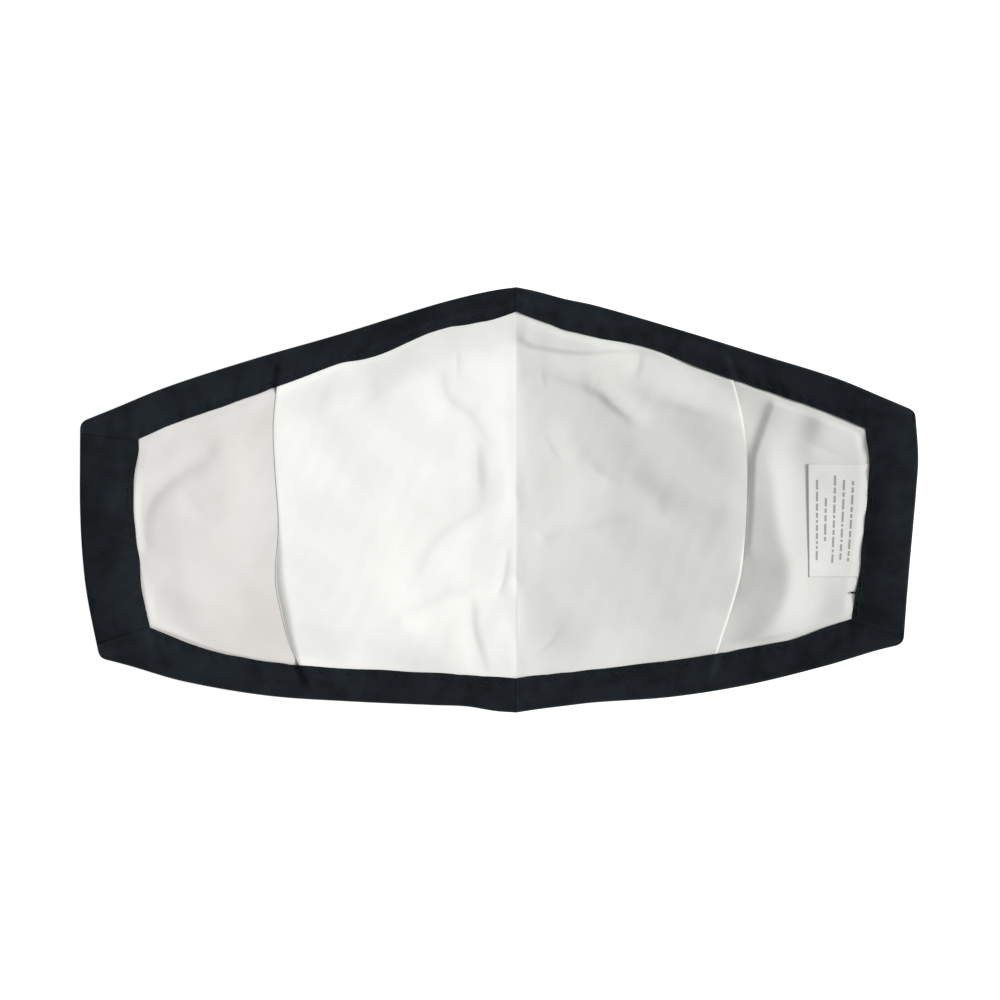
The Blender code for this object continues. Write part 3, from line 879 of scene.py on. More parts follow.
@dataclass(frozen=True)
class WovenCloth:
    """Plain-woven cloth: threads over and under each other, with uneven dye and loose fibres.

    thread_mm is the spacing that is drawn. Real threads lie 0.25 to 0.35 mm apart, which is one
    pixel of the picture, so they are drawn about twice as coarse.
    """

    name: str
    colour: str
    worn_colour: str
    thread_mm: float
    relief_mm: float
    roughness: float
    specular: float
    sheen: float
    sheen_colour: str
    mottle_mm: float
    thread_shade: float
    # Painted light: a lighter colour painted near the centre seam, where a darker copy's painted shade
    # fades in between seam_mm and seam_mm + fade_mm along the mask
    painted_light_seam_colour: str = ""
    seam_mm: float = 0.0
    fade_mm: float = 1.0

    def wave_scale(self) -> float:
        """Scale at which Blender's wave texture repeats once a thread spacing."""
        return math.pi / 10 / (self.thread_mm * MM)

    def material(self) -> bpy.types.Material:
        """Build the finish.

        Returns:
            A Principled material with weave relief, two scales of mottling and, if it has one, a lighter
            colour painted near the seam.
        """
        material = principled(self.name, {
            "Roughness": self.roughness, "Specular IOR Level": self.specular,
            "Sheen Weight": self.sheen, "Sheen Roughness": 0.6,
            "Sheen Tint": linear(self.sheen_colour)})
        tree = material.node_tree
        shader = tree.nodes["Principled BSDF"]
        place = add_node(tree, "ShaderNodeTexCoord").outputs["Object"]
        slub = add_node(tree, "ShaderNodeTexNoise", {
            "Vector": place, "Scale": 1 / (3.1 * self.thread_mm * MM), "Detail": 2.0})
        warp, weft = (
            add_node(tree, "ShaderNodeTexWave", {
                "Vector": place, "Scale": self.wave_scale(), "Distortion": 0.5,
                "Detail": 1.0, "Detail Scale": 0.4}, bands_direction=direction)
            for direction in ("X", "Y"))
        centred = [
            add_node(tree, "ShaderNodeMath", {0: wave.outputs["Fac"], 1: 0.5}, operation="SUBTRACT")
            for wave in (warp, weft)]
        crossing = add_node(tree, "ShaderNodeMath", {
            0: centred[0].outputs[0], 1: centred[1].outputs[0]}, operation="MULTIPLY")
        threads = add_node(tree, "ShaderNodeMath", {
            0: crossing.outputs[0], 1: 2.0, 2: slub.outputs["Fac"]}, operation="MULTIPLY_ADD")
        broad = add_node(tree, "ShaderNodeTexNoise", {
            "Vector": place, "Scale": 1 / (self.mottle_mm * MM), "Detail": 3.0, "Roughness": 0.55})
        worn = add_node(tree, "ShaderNodeMapRange", {
            "Value": broad.outputs["Fac"], "From Min": 0.36, "From Max": 0.66})
        shade = add_node(tree, "ShaderNodeMath", {
            0: threads.outputs[0], 1: self.thread_shade, 2: worn.outputs["Result"]},
            operation="MULTIPLY_ADD", use_clamp=True)
        colour = add_node(tree, "ShaderNodeMix", {
            "Factor": shade.outputs[0], 6: linear(self.colour), 7: linear(self.worn_colour)},
            data_type="RGBA").outputs[2]
        # Painted shade: the darker cloth colour away from the seam, the lighter painted colour near it
        if self.painted_light_seam_colour:
            along = add_node(tree, "ShaderNodeSeparateXYZ", {0: place}).outputs["X"]
            past = add_node(tree, "ShaderNodeMapRange", {
                "Value": along, "From Min": self.seam_mm * MM,
                "From Max": (self.seam_mm + self.fade_mm) * MM}).outputs["Result"]
            colour = add_node(tree, "ShaderNodeMix", {
                "Factor": past, 6: linear(self.painted_light_seam_colour), 7: colour}, data_type="RGBA").outputs[2]
        bump = add_node(tree, "ShaderNodeBump", {
            "Height": threads.outputs[0], "Distance": self.relief_mm * MM, "Strength": 1.0})
        tree.links.new(colour, shader.inputs["Base Color"])
        tree.links.new(bump.outputs["Normal"], shader.inputs["Normal"])
        return material


@dataclass(frozen=True)
class FlatFinish:
    """Smooth material in one colour, for printing ink and the studio's floor."""

    name: str
    colour: str
    roughness: float
    glow: float = 0.0

    def material(self) -> bpy.types.Material:
        """Build the finish, in one colour for what it reflects and what it gives off."""
        return principled(self.name, {
            "Base Color": linear(self.colour), "Roughness": self.roughness, "Specular IOR Level": 0.2,
            "Emission Color": linear(self.colour), "Emission Strength": self.glow})


# Polyester cloth dyed black, woven matt: it swallows light, and only its worn thread tops show grey
BLACK_POLYESTER = WovenCloth(
    name="black_woven_polyester", colour="#0b0f12", worn_colour="#181d21", thread_mm=0.72,
    relief_mm=0.10, roughness=0.92, specular=0.12, sheen=0.10, sheen_colour="#9fb2c0",
    mottle_mm=9.0, thread_shade=0.55)
# Bleached cotton, plain weave: soft and chalky, a little grey where the weave is thin
POCKET_COTTON_LEFT = WovenCloth(
    name="white_cotton_pocket_left", colour="#eaebe6", worn_colour="#efefeb", thread_mm=0.70,
    relief_mm=0.015, roughness=0.90, specular=0.15, sheen=0.12, sheen_colour="#ffffff",
    mottle_mm=24.0, thread_shade=0.12)
# The same cotton with painted shade: a darker copy for the right half, whose cloth faces away from the
# light, painted lighter again near the seam
POCKET_COTTON_RIGHT_PAINTED_SHADE = replace(
    POCKET_COTTON_LEFT, name="white_cotton_pocket_right_painted_shade", colour="#dadbd6", worn_colour="#e0e1dc",
    painted_light_seam_colour="#e8e9e4", seam_mm=4.5, fade_mm=9.0)
# One layer of the cotton over black cloth, whose colour shows through it
LINING_COTTON_LEFT = replace(
    POCKET_COTTON_LEFT, name="white_cotton_lining_left", colour="#d3d0cc", worn_colour="#d9d7d4")
# The same cotton on the right side panel, lighter and cooler than on the left
LINING_COTTON_RIGHT = replace(
    POCKET_COTTON_LEFT, name="white_cotton_lining_right", colour="#d9dad5", worn_colour="#e0e0dc")
# Woven satin tape: smoother than the cotton, with fine ribs that keep it a clean white
LABEL_TAPE = WovenCloth(
    name="white_satin_tape", colour="#e0e0dc", worn_colour="#e5e5e1", thread_mm=0.50,
    relief_mm=0.012, roughness=0.55, specular=0.35, sheen=0.05, sheen_colour="#ffffff",
    mottle_mm=12.0, thread_shade=0.20)
# Spun polyester sewing thread: a dull twisted yarn with a little more gloss than the cloth
BLACK_THREAD = WovenCloth(
    name="black_sewing_thread", colour="#0e1316", worn_colour="#1a2024", thread_mm=0.45,
    relief_mm=0.05, roughness=0.90, specular=0.08, sheen=0.10, sheen_colour="#9fb2c0",
    mottle_mm=3.0, thread_shade=0.60)
# Grey ink printed on the tape: flat, and soaked in
LABEL_INK = FlatFinish(name="grey_label_ink", colour="#a2a2a0", roughness=0.8)
# Backlit white acrylic table: an even pale ground with faint shadows
LIGHT_TABLE = FlatFinish(name="backlit_acrylic", colour="#bcbcbc", roughness=0.7, glow=1.75)


# Pieces


@dataclass
class Panel:
    """A layer of cloth over a block of the cut, as one closed sheet."""

    cut: Cut
    relief: Relief
    half: Half
    cell: float = 0.0006
    cloth: float = 0.0006
    tuck: float = 0.44
    between_hems: float = 0.8
    seam_gap: float = 0.15 * MM

    def across(self) -> np.ndarray:
        """Place the grid's rows.

        Returns:
            v of each row, from under one hem to under the other.
        """
        cell = drawn_cell(self.cell)
        hem = max(int(self.tuck * self.cut.top_hem / cell), 2)
        between = int(2 * self.cut.half_height * self.between_hems / cell)
        return np.concatenate([
            np.linspace(-self.tuck, 0, hem, endpoint=False),
            np.linspace(0, 1, between, endpoint=False),
            np.linspace(1, 1 + self.tuck, hem)])

    def along(self, start: float, end: float, length: float, coarser: float = 1.0) -> np.ndarray:
        """u of the grid's columns over a stretch of that real length."""
        cell = drawn_cell(self.cell * coarser)
        return np.linspace(start, end, max(int(length / cell), 3))

    def sheet(self, name: str, u: np.ndarray, v: np.ndarray, under: Shape, over: Shape,
              material: bpy.types.Material) -> bpy.types.Object:
        """Build the closed sheet.

        Args:
            name: the piece's name.
            u: columns of the grid.
            v: rows of the grid.
            under: height of the underside, from arrays of x, y and u.
            over: height of the top, from the same.
            material: its finish.

        Returns:
            The piece.
        """
        grid_u, grid_v = np.meshgrid(u, v, indexing="ij")
        x, y = self.cut.place(self.half, grid_u, grid_v)
        low, high = under(x, y, grid_u), over(x, y, grid_u)
        return new_sheet(name, x, y, low, high, self.half.sign > 0, material)


@dataclass
class OuterCloth(Panel):
    """The black cloth that the mask lies on."""

    cell: float = 0.0011
    length: float = 0.100
    height: float = 0.100
    cloth_share: float = 0.8
    edge_rows: int = 9
    edge_columns: int = 14
    gather_span: Point = (0.0002, 0.003)
    flat: Point = (0.124, 0.122)
    area: float = 0.0120

    def build(self, material: bpy.types.Material) -> bpy.types.Object:
        """Build one half and put it in place of its solid.

        Args:
            material: its finish.

        Returns:
            The piece.
        """
        cut, half = self.cut, self.half
        edge = cut.ply
        gather = Ripple(seed=21 + half.sign, shortest=0.012, longest=0.040, height=0.00010)
        u = np.concatenate([
            self.along(self.seam_gap / half.pocket_reach, 2, self.length),
            np.linspace(2, 3 - edge / half.casing, self.edge_columns)[1:]])
        v = np.concatenate([
            np.linspace(-1 + edge / cut.bottom_hem, 0, self.edge_rows, endpoint=False),
            np.linspace(0, 1, int(self.height / self.cell), endpoint=False),
            np.linspace(1, 2 - edge / cut.top_hem, self.edge_rows)])

        def under(x: np.ndarray, y: np.ndarray, _: np.ndarray) -> np.ndarray:
            """Underside, with soft gathers where it doesn't rest on the table."""
            base = cut.dish(half, x, y)
            return base + gather(x, y) * ease(base, *self.gather_span)

        def over(x: np.ndarray, y: np.ndarray, u: np.ndarray) -> np.ndarray:
            """Top, one cloth above."""
            return under(x, y, u) + self.cloth_share * cut.cloth

        piece = self.sheet(f"outer_cloth_{half.name}", u, v, under, over, material)
        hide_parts(f"outer_{half.name}")
        return piece


@dataclass
class Lining(Panel):
    """The middle layer of white cotton, which shows beyond the pocket panel."""

    hidden_to: float = 0.82
    hidden_length: float = 0.060
    shown_length: float = 0.046
    tucked_columns: int = 8
    flat: Point = (0.113, 0.115)
    area: float = 0.0098

    def top(self, x: np.ndarray, y: np.ndarray) -> np.ndarray:
        """Height of the layer's upper face."""
        lift = self.relief.lift(self.half, x, y, (BOTH, LINING)) - self.cut.sink(self.half, x, y)
        return self.cut.dish(self.half, x, y) + self.cut.ply + self.cut.cloth + lift

    def build(self, material: bpy.types.Material) -> bpy.types.Object:
        """Build one half, with coarser cells where the pocket hides it.

        Args:
            material: its finish.

        Returns:
            The piece.
        """
        half = self.half
        start = self.seam_gap / half.pocket_reach
        u = np.concatenate([
            self.along(start, self.hidden_to, self.hidden_length, coarser=2.0)[:-1],
            self.along(self.hidden_to, 2, self.shown_length)[:-1],
            np.linspace(2, 2 + self.tuck, self.tucked_columns)])

        def under(x: np.ndarray, y: np.ndarray, _: np.ndarray) -> np.ndarray:
            """Underside, one cloth below."""
            return self.top(x, y) - self.cloth

        def over(x: np.ndarray, y: np.ndarray, _: np.ndarray) -> np.ndarray:
            """Upper face."""
            return self.top(x, y)

        piece = self.sheet(f"lining_{half.name}", u, self.across(), under, over, material)
        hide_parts(f"middle_{half.name}")
        return piece


@dataclass
class PocketPanel(Panel):
    """The inner panel, whose outer side is left open as a filter pocket.

    The left edge gapes in a wedge, whose span is in shares of the mask's half height, and between
    the pressed span's two places across the mask the right edge lies flat.
    """

    cell: float = 0.00052
    gape: float = 0.00110
    settle: float = 0.00112
    settle_span: Point = (-0.0018, 0.0022)
    wedge_span: Point = (-0.83, -0.12)
    wedge_roll: float = 0.0013
    wedge_width: float = 0.0023
    pressed_span: Point = (-0.019, 0.025)
    pressed_gain: float = 1.6
    edge_roll: float = 0.00022
    left_roll: float = 0.4
    right_roll: float = 1.3
    roll_width: float = 0.0008
    roll_power: float = 1.7
    thin_share: float = 0.5
    thin_width: float = 0.00040
    least: float = 0.00016
    clearance: float = 0.00003
    near_seam_mm: tuple[float, ...] = (0.0, 0.02, 0.05, 0.30)
    even_from_mm: float = 0.7
    even_to_mm: float = 2.0
    near_edge_mm: tuple[float, ...] = (1.6, 1.3, 1.0, 0.75, 0.55, 0.38, 0.22, 0.10, 0.04, 0.0)
    flat: Point = (0.070, 0.115)
    area: float = 0.0068

    def top(self, x: np.ndarray, y: np.ndarray, u: np.ndarray) -> np.ndarray:
        """Height of the panel's upper face.

        Args:
            x: places along the mask.
            y: places across it.
            u: cloth coordinates, 1 at the panel's open edge.

        Returns:
            Heights, with the gape of the opening and the rolled edge.
        """
        cut, half = self.cut, self.half
        lift = self.relief.lift(half, x, y, (BOTH, POCKET)) - cut.sink(half, x, y)
        top = cut.dish(half, x, y) + 2 * cut.ply + cut.cloth + lift
        across, _ = cut.room(half, x, y)
        if half.sign < 0:
            top -= self.settle * ease(u, 0.1, 0.7) * ease(across, *self.settle_span)
            wedge = hump(y / cut.half_height, *self.wedge_span)
            top += self.gape * ease(u, 0.1, 1.0) * wedge
            roll = self.left_roll * self.edge_roll + self.wedge_roll * wedge
            width = self.roll_width + self.wedge_width * wedge
        else:
            pressed = np.minimum(self.pressed_gain * hump(y, *self.pressed_span), 1.0)
            roll = self.right_roll * self.edge_roll * (1 - pressed)
            width = self.roll_width
        inside = np.clip(1 - (1 - u) * half.pocket_reach / width, 0.0, 1.0)
        return top - roll * inside**self.roll_power

    def build(self, material: bpy.types.Material) -> bpy.types.Object:
        """Build one half, with finer cells near the seam and near the open edge.

        Args:
            material: its finish.

        Returns:
            The piece.
        """
        half = self.half
        reach = half.pocket_reach
        u = np.concatenate([
            np.array(self.near_seam_mm) * MM / reach,
            self.along(self.even_from_mm * MM / reach, 1 - self.even_to_mm * MM / reach, reach),
            1 - np.array(self.near_edge_mm) * MM / reach])
        below = Lining(self.cut, self.relief, half)

        def over(x: np.ndarray, y: np.ndarray, u: np.ndarray) -> np.ndarray:
            """Upper face, kept clear of the lining below it."""
            return np.maximum(self.top(x, y, u), below.top(x, y) + self.least)

        def under(x: np.ndarray, y: np.ndarray, u: np.ndarray) -> np.ndarray:
            """Underside, with the cloth thinned at its rolled edge."""
            inward = (1 - u) * reach
            thick = self.cloth * (1 - self.thin_share * np.exp(-((inward / self.thin_width) ** 2)))
            return np.maximum(over(x, y, u) - thick, below.top(x, y) + self.clearance)

        piece = self.sheet(f"filter_pocket_{half.name}", u, self.across(), under, over, material)
        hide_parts(f"pocket_panel_{half.name}")
        return piece


@dataclass
class Band:
    """A strip of the black cloth, folded round the mask's edge and stitched down."""

    cut: Cut
    half: Half
    cell: float = 0.0007
    lip: float = 0.0011
    press: float = 0.00026
    strip: float = 0.0004
    corner_rounding: float = 0.0031
    stitch_inset: float = 0.0017
    stitch_sink: float = 0.0001
    pitch: float = 0.0027
    dent_depth: float = 0.00026
    dent_least: float = 0.55
    dent_width: float = 0.0006
    pucker_height: float = 0.00012
    pucker_length: float = 0.0071
    pucker_drift: float = 0.017
    pucker_width: float = 0.0024
    step_span: Point = (0.08, 0.62)
    puff_span: Point = (0.02, 0.98)
    tucked_shares: Point = (0.50, 0.39)
    lean_out: float = 0.72

    def section(self, width: np.ndarray, rest: np.ndarray, puff: np.ndarray,
                along: np.ndarray) -> Places:
        """Closed section of the strip at each place along it.

        Args:
            width: the strip's width, seen from above.
            rest: height of what its inner half lies on.
            puff: how far its middle stands up.
            along: distance along the strip, which sets its puckers.

        Returns:
            Shares of the width from the outer edge, and heights above the dish.
        """
        shoulder = self.cut.ply + self.cut.cloth
        turn = np.linspace(-0.5 * math.pi, 0.5 * math.pi, 9)[None, :]
        width, rest, puff, along = (item[:, None] for item in (width, rest, puff, along))
        outer_share = self.lip * (1 - np.cos(turn)) / width
        outer_height = shoulder * (0.5 + 0.5 * np.sin(turn)) + 0 * width
        depth = np.linspace(0.0, 1.0, 16)[None, 1:]
        top_share = (self.lip + (width - self.lip - 0.5 * self.strip) * depth) / width
        off_stitches = (1 - top_share) * width - self.stitch_inset
        top = shoulder + (rest + self.strip - shoulder) * ease(top_share, *self.step_span)
        top += puff * hump(top_share, *self.puff_span)
        drift = 1.7 * np.sin(along / self.pucker_drift)
        pucker = self.pucker_height * np.sin(math.tau * along / self.pucker_length + drift)
        bite = 0.5 + 0.5 * np.cos(math.tau * along / self.pitch)
        dent = self.dent_depth * (self.dent_least + (1 - self.dent_least) * bite)
        top -= dent * np.exp(-((off_stitches / self.dent_width) ** 2))
        top += pucker * np.exp(-((off_stitches / self.pucker_width) ** 2))
        turn = np.linspace(0.5 * math.pi, -0.5 * math.pi, 5)[None, 1:]
        inner_share = 1 - (0.5 * self.strip * (1 - np.cos(turn))) / width
        inner_height = rest + self.strip * (0.5 + 0.5 * np.sin(turn))
        low_share = np.array([self.tucked_shares]) + 0 * width
        low_height = np.concatenate([rest + 0.5 * puff, self.cut.ply + 0.5 * puff], axis=1)
        lip_share = np.concatenate([1.3 * self.lip / width, self.lip / width], axis=1)
        lip_height = np.concatenate([self.cut.ply + 0 * width, 0.7 * self.cut.ply + 0 * width], axis=1)
        share = np.concatenate([outer_share, top_share, inner_share, low_share, lip_share], axis=1)
        height = np.concatenate([outer_height, top, inner_height, low_height, lip_height], axis=1)
        return share, height

    def corner_centre(self, edge: Edge) -> tuple[np.ndarray, np.ndarray, np.ndarray]:
        """Find where a corner of the strip is rounded.

        Args:
            edge: the edge that the corner is on.

        Returns:
            The rounding's centre, and the directions along the corner's two edges towards it.
        """
        v = 2.0 if edge is Edge.NOSE else -1.0
        inward = -1.0 if edge is Edge.NOSE else 1.0
        x, y = self.cut.place(self.half, np.array([3.0, 2.6, 3.0]), np.array([v, v, v + 0.8 * inward]))
        tip = np.array([x[0], y[0]])
        along = tip - np.array([x[1], y[1]])
        upright = tip - np.array([x[2], y[2]])
        along /= np.hypot(*along)
        upright /= np.hypot(*upright)
        half_angle = 0.5 * math.acos(float(np.clip(along @ upright, -1, 1)))
        bisector = -(along + upright) / np.hypot(*(along + upright))
        return tip + bisector * self.corner_rounding / math.sin(half_angle), along, upright

    def round_corners(self, x: np.ndarray, y: np.ndarray) -> Places:
        """Pull what lies outside a corner's rounding onto its circle.

        Args:
            x: places along the mask.
            y: places across it.

        Returns:
            The places, moved.
        """
        for edge in Edge:
            centre, along, upright = self.corner_centre(edge)
            away_x, away_y = x - centre[0], y - centre[1]
            past = away_x * along[0] + away_y * along[1] > 0
            past &= away_x * upright[0] + away_y * upright[1] > 0
            reach = np.hypot(away_x, away_y)
            pull = np.where(past & (reach > self.corner_rounding), self.corner_rounding / reach, 1.0)
            x, y = centre[0] + away_x * pull, centre[1] + away_y * pull
        return x, y

    def strip_points(self, outline: Places, inner: Places, rest: np.ndarray, puff: np.ndarray,
                     along: np.ndarray, bulge: np.ndarray) -> np.ndarray:
        """Vertices of the strip between two lines seen from above, one section a row.

        Args:
            outline: places of its outer edge.
            inner: places of its inner edge.
            rest: height of what its inner half lies on.
            puff: how far its middle stands up.
            along: distance along the strip.
            bulge: extra height of its top at each section.

        Returns:
            Array of sections by vertices by three.
        """
        width = np.hypot(inner[0] - outline[0], inner[1] - outline[1])
        share, height = self.section(width, rest, puff, along)
        x = outline[0][:, None] + (inner[0] - outline[0])[:, None] * share
        y = outline[1][:, None] + (inner[1] - outline[1])[:, None] * share
        uneven = Ripple(seed=31, shortest=0.006, longest=0.022, height=0.00011)(x, y)
        top = ease(height, 0.3 * self.cut.ply, 1.8 * self.cut.ply)
        x, y = self.round_corners(x, y)
        z = self.cut.dish(self.half, x, y) + height + top * (uneven + bulge[:, None])
        return np.stack([x, y, z], axis=-1)

    def wander(self, along: np.ndarray, seed: int) -> np.ndarray:
        """Unevenness of a hand-guided inner edge, as a share of the strip's width."""
        return Ripple(seed=seed, shortest=0.011, longest=0.034, height=0.010, waves=12)(along, 0 * along)

    def stitch_line(self, outline: Places, inner: Places, rest: np.ndarray) -> np.ndarray:
        """Run a stitch row along the strip, a little inside its inner edge.

        Args:
            outline: places of the strip's outer edge.
            inner: places of its inner edge.
            rest: height of what it is sewn on.

        Returns:
            Points of the row.
        """
        width = np.hypot(inner[0] - outline[0], inner[1] - outline[1])
        share = 1 - self.stitch_inset / width
        x = outline[0] + (inner[0] - outline[0]) * share
        y = outline[1] + (inner[1] - outline[1]) * share
        z = self.cut.dish(self.half, x, y) + rest + self.strip - self.press - self.stitch_sink
        return np.stack([x, y, z], axis=-1)

    def finish(self, name: str, points: np.ndarray, forward: bool, node: str,
               material: bpy.types.Material) -> bpy.types.Object:
        """Close the strip's mesh and put it in place of its solid.

        Args:
            name: the piece's name.
            points: its vertices, as strip_points gives them.
            forward: whether its sections run in the direction that turns its faces outwards.
            node: the solid's name.
            material: its finish.

        Returns:
            The piece.
        """
        faces = loft_faces(points.shape[0], points.shape[1], forward)
        piece = new_piece(name, points.reshape(-1, 3), faces, material)
        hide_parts(node)
        return piece


@dataclass
class Hem(Band):
    """The strip along the nose edge or the chin edge of one half."""

    edge: Edge = Edge.NOSE
    side_length: float = 0.036
    end_u: float = 2.97
    stitch_end_u: float = 2.02
    pocket_step: Point = (0.985, 1.045)
    casing_step: Point = (1.97, 2.12)
    wander_share: float = 0.2
    wander_end: Point = (1.8, 2.0)
    seed: int = 41
    seam_bulge: float = 0.0004
    bulge_width: float = 0.0042
    nick_depth: float = 0.00003
    nick_width: float = 0.0006

    def layers_below(self, u: np.ndarray) -> np.ndarray:
        """How many layers it lies on: the pocket panel ends under it."""
        return 3 - ease(u, *self.pocket_step)

    def lines(self) -> tuple[np.ndarray, np.ndarray, np.ndarray, np.ndarray]:
        """Lay out the hem's sections.

        Returns:
            u, outer v, inner v and the distance from the seam, at each section.
        """
        cell = drawn_cell(self.cell)
        u = np.concatenate([
            np.linspace(0, 1, int(self.half.pocket_reach / cell), endpoint=False),
            np.linspace(1, 2, int(self.side_length / cell), endpoint=False),
            np.linspace(2, self.end_u, int(self.half.casing / cell))])
        corner = np.clip(u - 2, 0, 1)
        distance = u * self.half.pocket_reach
        wander = self.wander_share * self.wander(distance, self.seed) * (1 - ease(u, *self.wander_end))
        inner = 1.0 + self.lean_out * corner - np.abs(wander)
        if self.edge is Edge.NOSE:
            return u, np.full(u.shape, 2.0), inner, distance
        return u, np.full(u.shape, -1.0), 1 - inner, distance

    def build(self, material: bpy.types.Material) -> bpy.types.Object:
        """Build the hem of one half.

        Args:
            material: its finish.

        Returns:
            The piece.
        """
        u, outer_v, inner_v, distance = self.lines()
        cut, half = self.cut, self.half
        outline = cut.place(half, u, outer_v)
        inner = cut.place(half, u, inner_v)
        rest = self.layers_below(u) * cut.ply - self.press
        rest += (self.strip + self.press) * ease(u, *self.casing_step)
        bulge = self.seam_bulge * np.exp(-((distance / self.bulge_width) ** 2))
        bulge -= self.nick_depth * np.exp(-((distance / self.nick_width) ** 2))
        points = self.strip_points(outline, inner, rest, 0 * u, distance, bulge)
        forward = (self.edge is Edge.NOSE) == (half.sign > 0)
        node = f"{'top' if self.edge is Edge.NOSE else 'bottom'}_hem_{half.name}"
        return self.finish(f"{self.edge.value}_hem_{half.name}", points, forward, node, material)

    def stitches(self) -> np.ndarray:
        """Run the hem's stitch row, as far as the casing.

        Returns:
            Points of the row.
        """
        u, outer_v, inner_v, _ = self.lines()
        kept = u < self.stitch_end_u
        outline = self.cut.place(self.half, u[kept], outer_v[kept])
        inner = self.cut.place(self.half, u[kept], inner_v[kept])
        return self.stitch_line(outline, inner, self.layers_below(u[kept]) * self.cut.ply)


@dataclass
class Casing(Band):
    """The wider strip round one end, made to hold an ear cord."""

    puff: float = 0.0010
    length: float = 0.066
    calm_share: float = 0.1
    stitch_span: Point = (0.02, 0.98)
    stitch_points: int = 90
    seed: int = 51

    def build(self, material: bpy.types.Material) -> bpy.types.Object:
        """Build the casing of one end.

        Args:
            material: its finish.

        Returns:
            The piece.
        """
        cut, half = self.cut, self.half
        share = np.linspace(0, 1, int(self.length / drawn_cell(self.cell)))
        along = share * self.length
        outline = cut.place(half, np.full(share.shape, 3.0), -1 + 3 * share)
        calm = ease(share, 0, self.calm_share) * ease(1 - share, 0, self.calm_share)
        inner = cut.place(half, 2.0 + self.wander(along, self.seed) * calm, share)
        rest = np.full(share.shape, 2 * cut.ply - self.press)
        puff = self.puff * hump(share, -0.05, 1.05)
        points = self.strip_points(outline, inner, rest, puff, along, 0 * share)
        node = f"ear_casing_{half.name}"
        return self.finish(f"ear_cord_casing_{half.name}", points, half.sign < 0, node, material)

    def stitches(self) -> np.ndarray:
        """Run the casing's stitch row, between the hems.

        Returns:
            Points of the row.
        """
        share = np.linspace(*self.stitch_span, self.stitch_points)
        outer_v = -self.lean_out + (1 + 2 * self.lean_out) * share
        outline = self.cut.place(self.half, np.full(share.shape, 3.0), outer_v)
        inner = self.cut.place(self.half, np.full(share.shape, 2.0), share)
        return self.stitch_line(outline, inner, np.full(share.shape, 2 * self.cut.ply))


@dataclass
class StitchRow:
    """A row of lockstitches: short rounded threads that dip into the cloth at both ends."""

    pitch: float = 0.0027
    length: float = 0.0021
    radius: float = 0.00018
    sides: int = 6
    dip: float = 0.00016

    def walk(self, line: np.ndarray) -> list[tuple[np.ndarray, np.ndarray]]:
        """Space the stitches out along a line.

        Args:
            line: points on the cloth.

        Returns:
            The middle and direction of each stitch.
        """
        steps = np.linalg.norm(np.diff(line, axis=0), axis=1)
        travelled = np.concatenate([[0.0], np.cumsum(steps)])
        middles = np.arange(0.5 * self.pitch, travelled[-1] - 0.5 * self.pitch, self.pitch)
        found = []
        for middle in middles:
            ends = [np.array([np.interp(middle + side * 0.5 * self.length, travelled, line[:, axis])
                              for axis in range(3)]) for side in (-1, 1)]
            along = ends[1] - ends[0]
            found.append(((ends[0] + ends[1]) / 2, along / np.linalg.norm(along)))
        return found

    def mesh(self, lines: Sequence[np.ndarray]) -> tuple[np.ndarray, list[list[int]]]:
        """Vertices and faces of all the stitches along some lines.

        Args:
            lines: arrays of points on the cloth.

        Returns:
            The vertices, and the vertex numbers of each face.
        """
        shares = np.array([-1.0, -0.86, -0.5, 0.0, 0.5, 0.86, 1.0])
        girth = np.array([0.35, 0.75, 0.95, 1.0, 0.95, 0.75, 0.35])
        turn = np.linspace(0, math.tau, self.sides, endpoint=False)
        points, faces = [], []
        for line in lines:
            for middle, along in self.walk(line):
                beside = np.cross(along, (0.0, 0.0, 1.0))
                beside /= np.linalg.norm(beside)
                above = np.cross(beside, along)
                first = len(points)
                for share, thick in zip(shares, girth):
                    centre = middle + along * share * self.length / 2
                    centre = centre + above * (0.35 * self.radius - self.dip * share * share)
                    for angle in turn:
                        side = beside * math.cos(angle) + 0.8 * above * math.sin(angle)
                        points.append(centre + side * self.radius * thick)
                rings = np.arange(first, len(points)).reshape(len(shares), self.sides)
                closed = np.concatenate([rings, rings[:, :1]], axis=1)
                for ring, following in zip(closed, closed[1:]):
                    faces += quads(following, ring).tolist()
                faces += [rings[0, ::-1].tolist(), rings[-1].tolist()]
        return np.array(points), faces

    def build(self, name: str, lines: Sequence[np.ndarray], slot: str,
              material: bpy.types.Material) -> bpy.types.Object:
        """Build one piece of all the stitches along some lines.

        Args:
            name: the piece's name.
            lines: arrays of points on the cloth.
            slot: not used.
            material: its finish.

        Returns:
            The piece.
        """
        points, faces = self.mesh(lines)
        return new_piece(name, points, faces, material)


@dataclass(frozen=True)
class PrintColumn:
    """An upright column of printing on the label, in shares of its width and height."""

    across: float
    start: float
    end: float


PRINT_COLUMNS = table(
    PrintColumn,  # across, start, end
    (0.145, 0.14, 0.85),
    (0.285, 0.30, 0.68),
    (0.425, 0.10, 0.88),
    (0.565, 0.14, 0.85),
    (0.705, 0.15, 0.86),
)


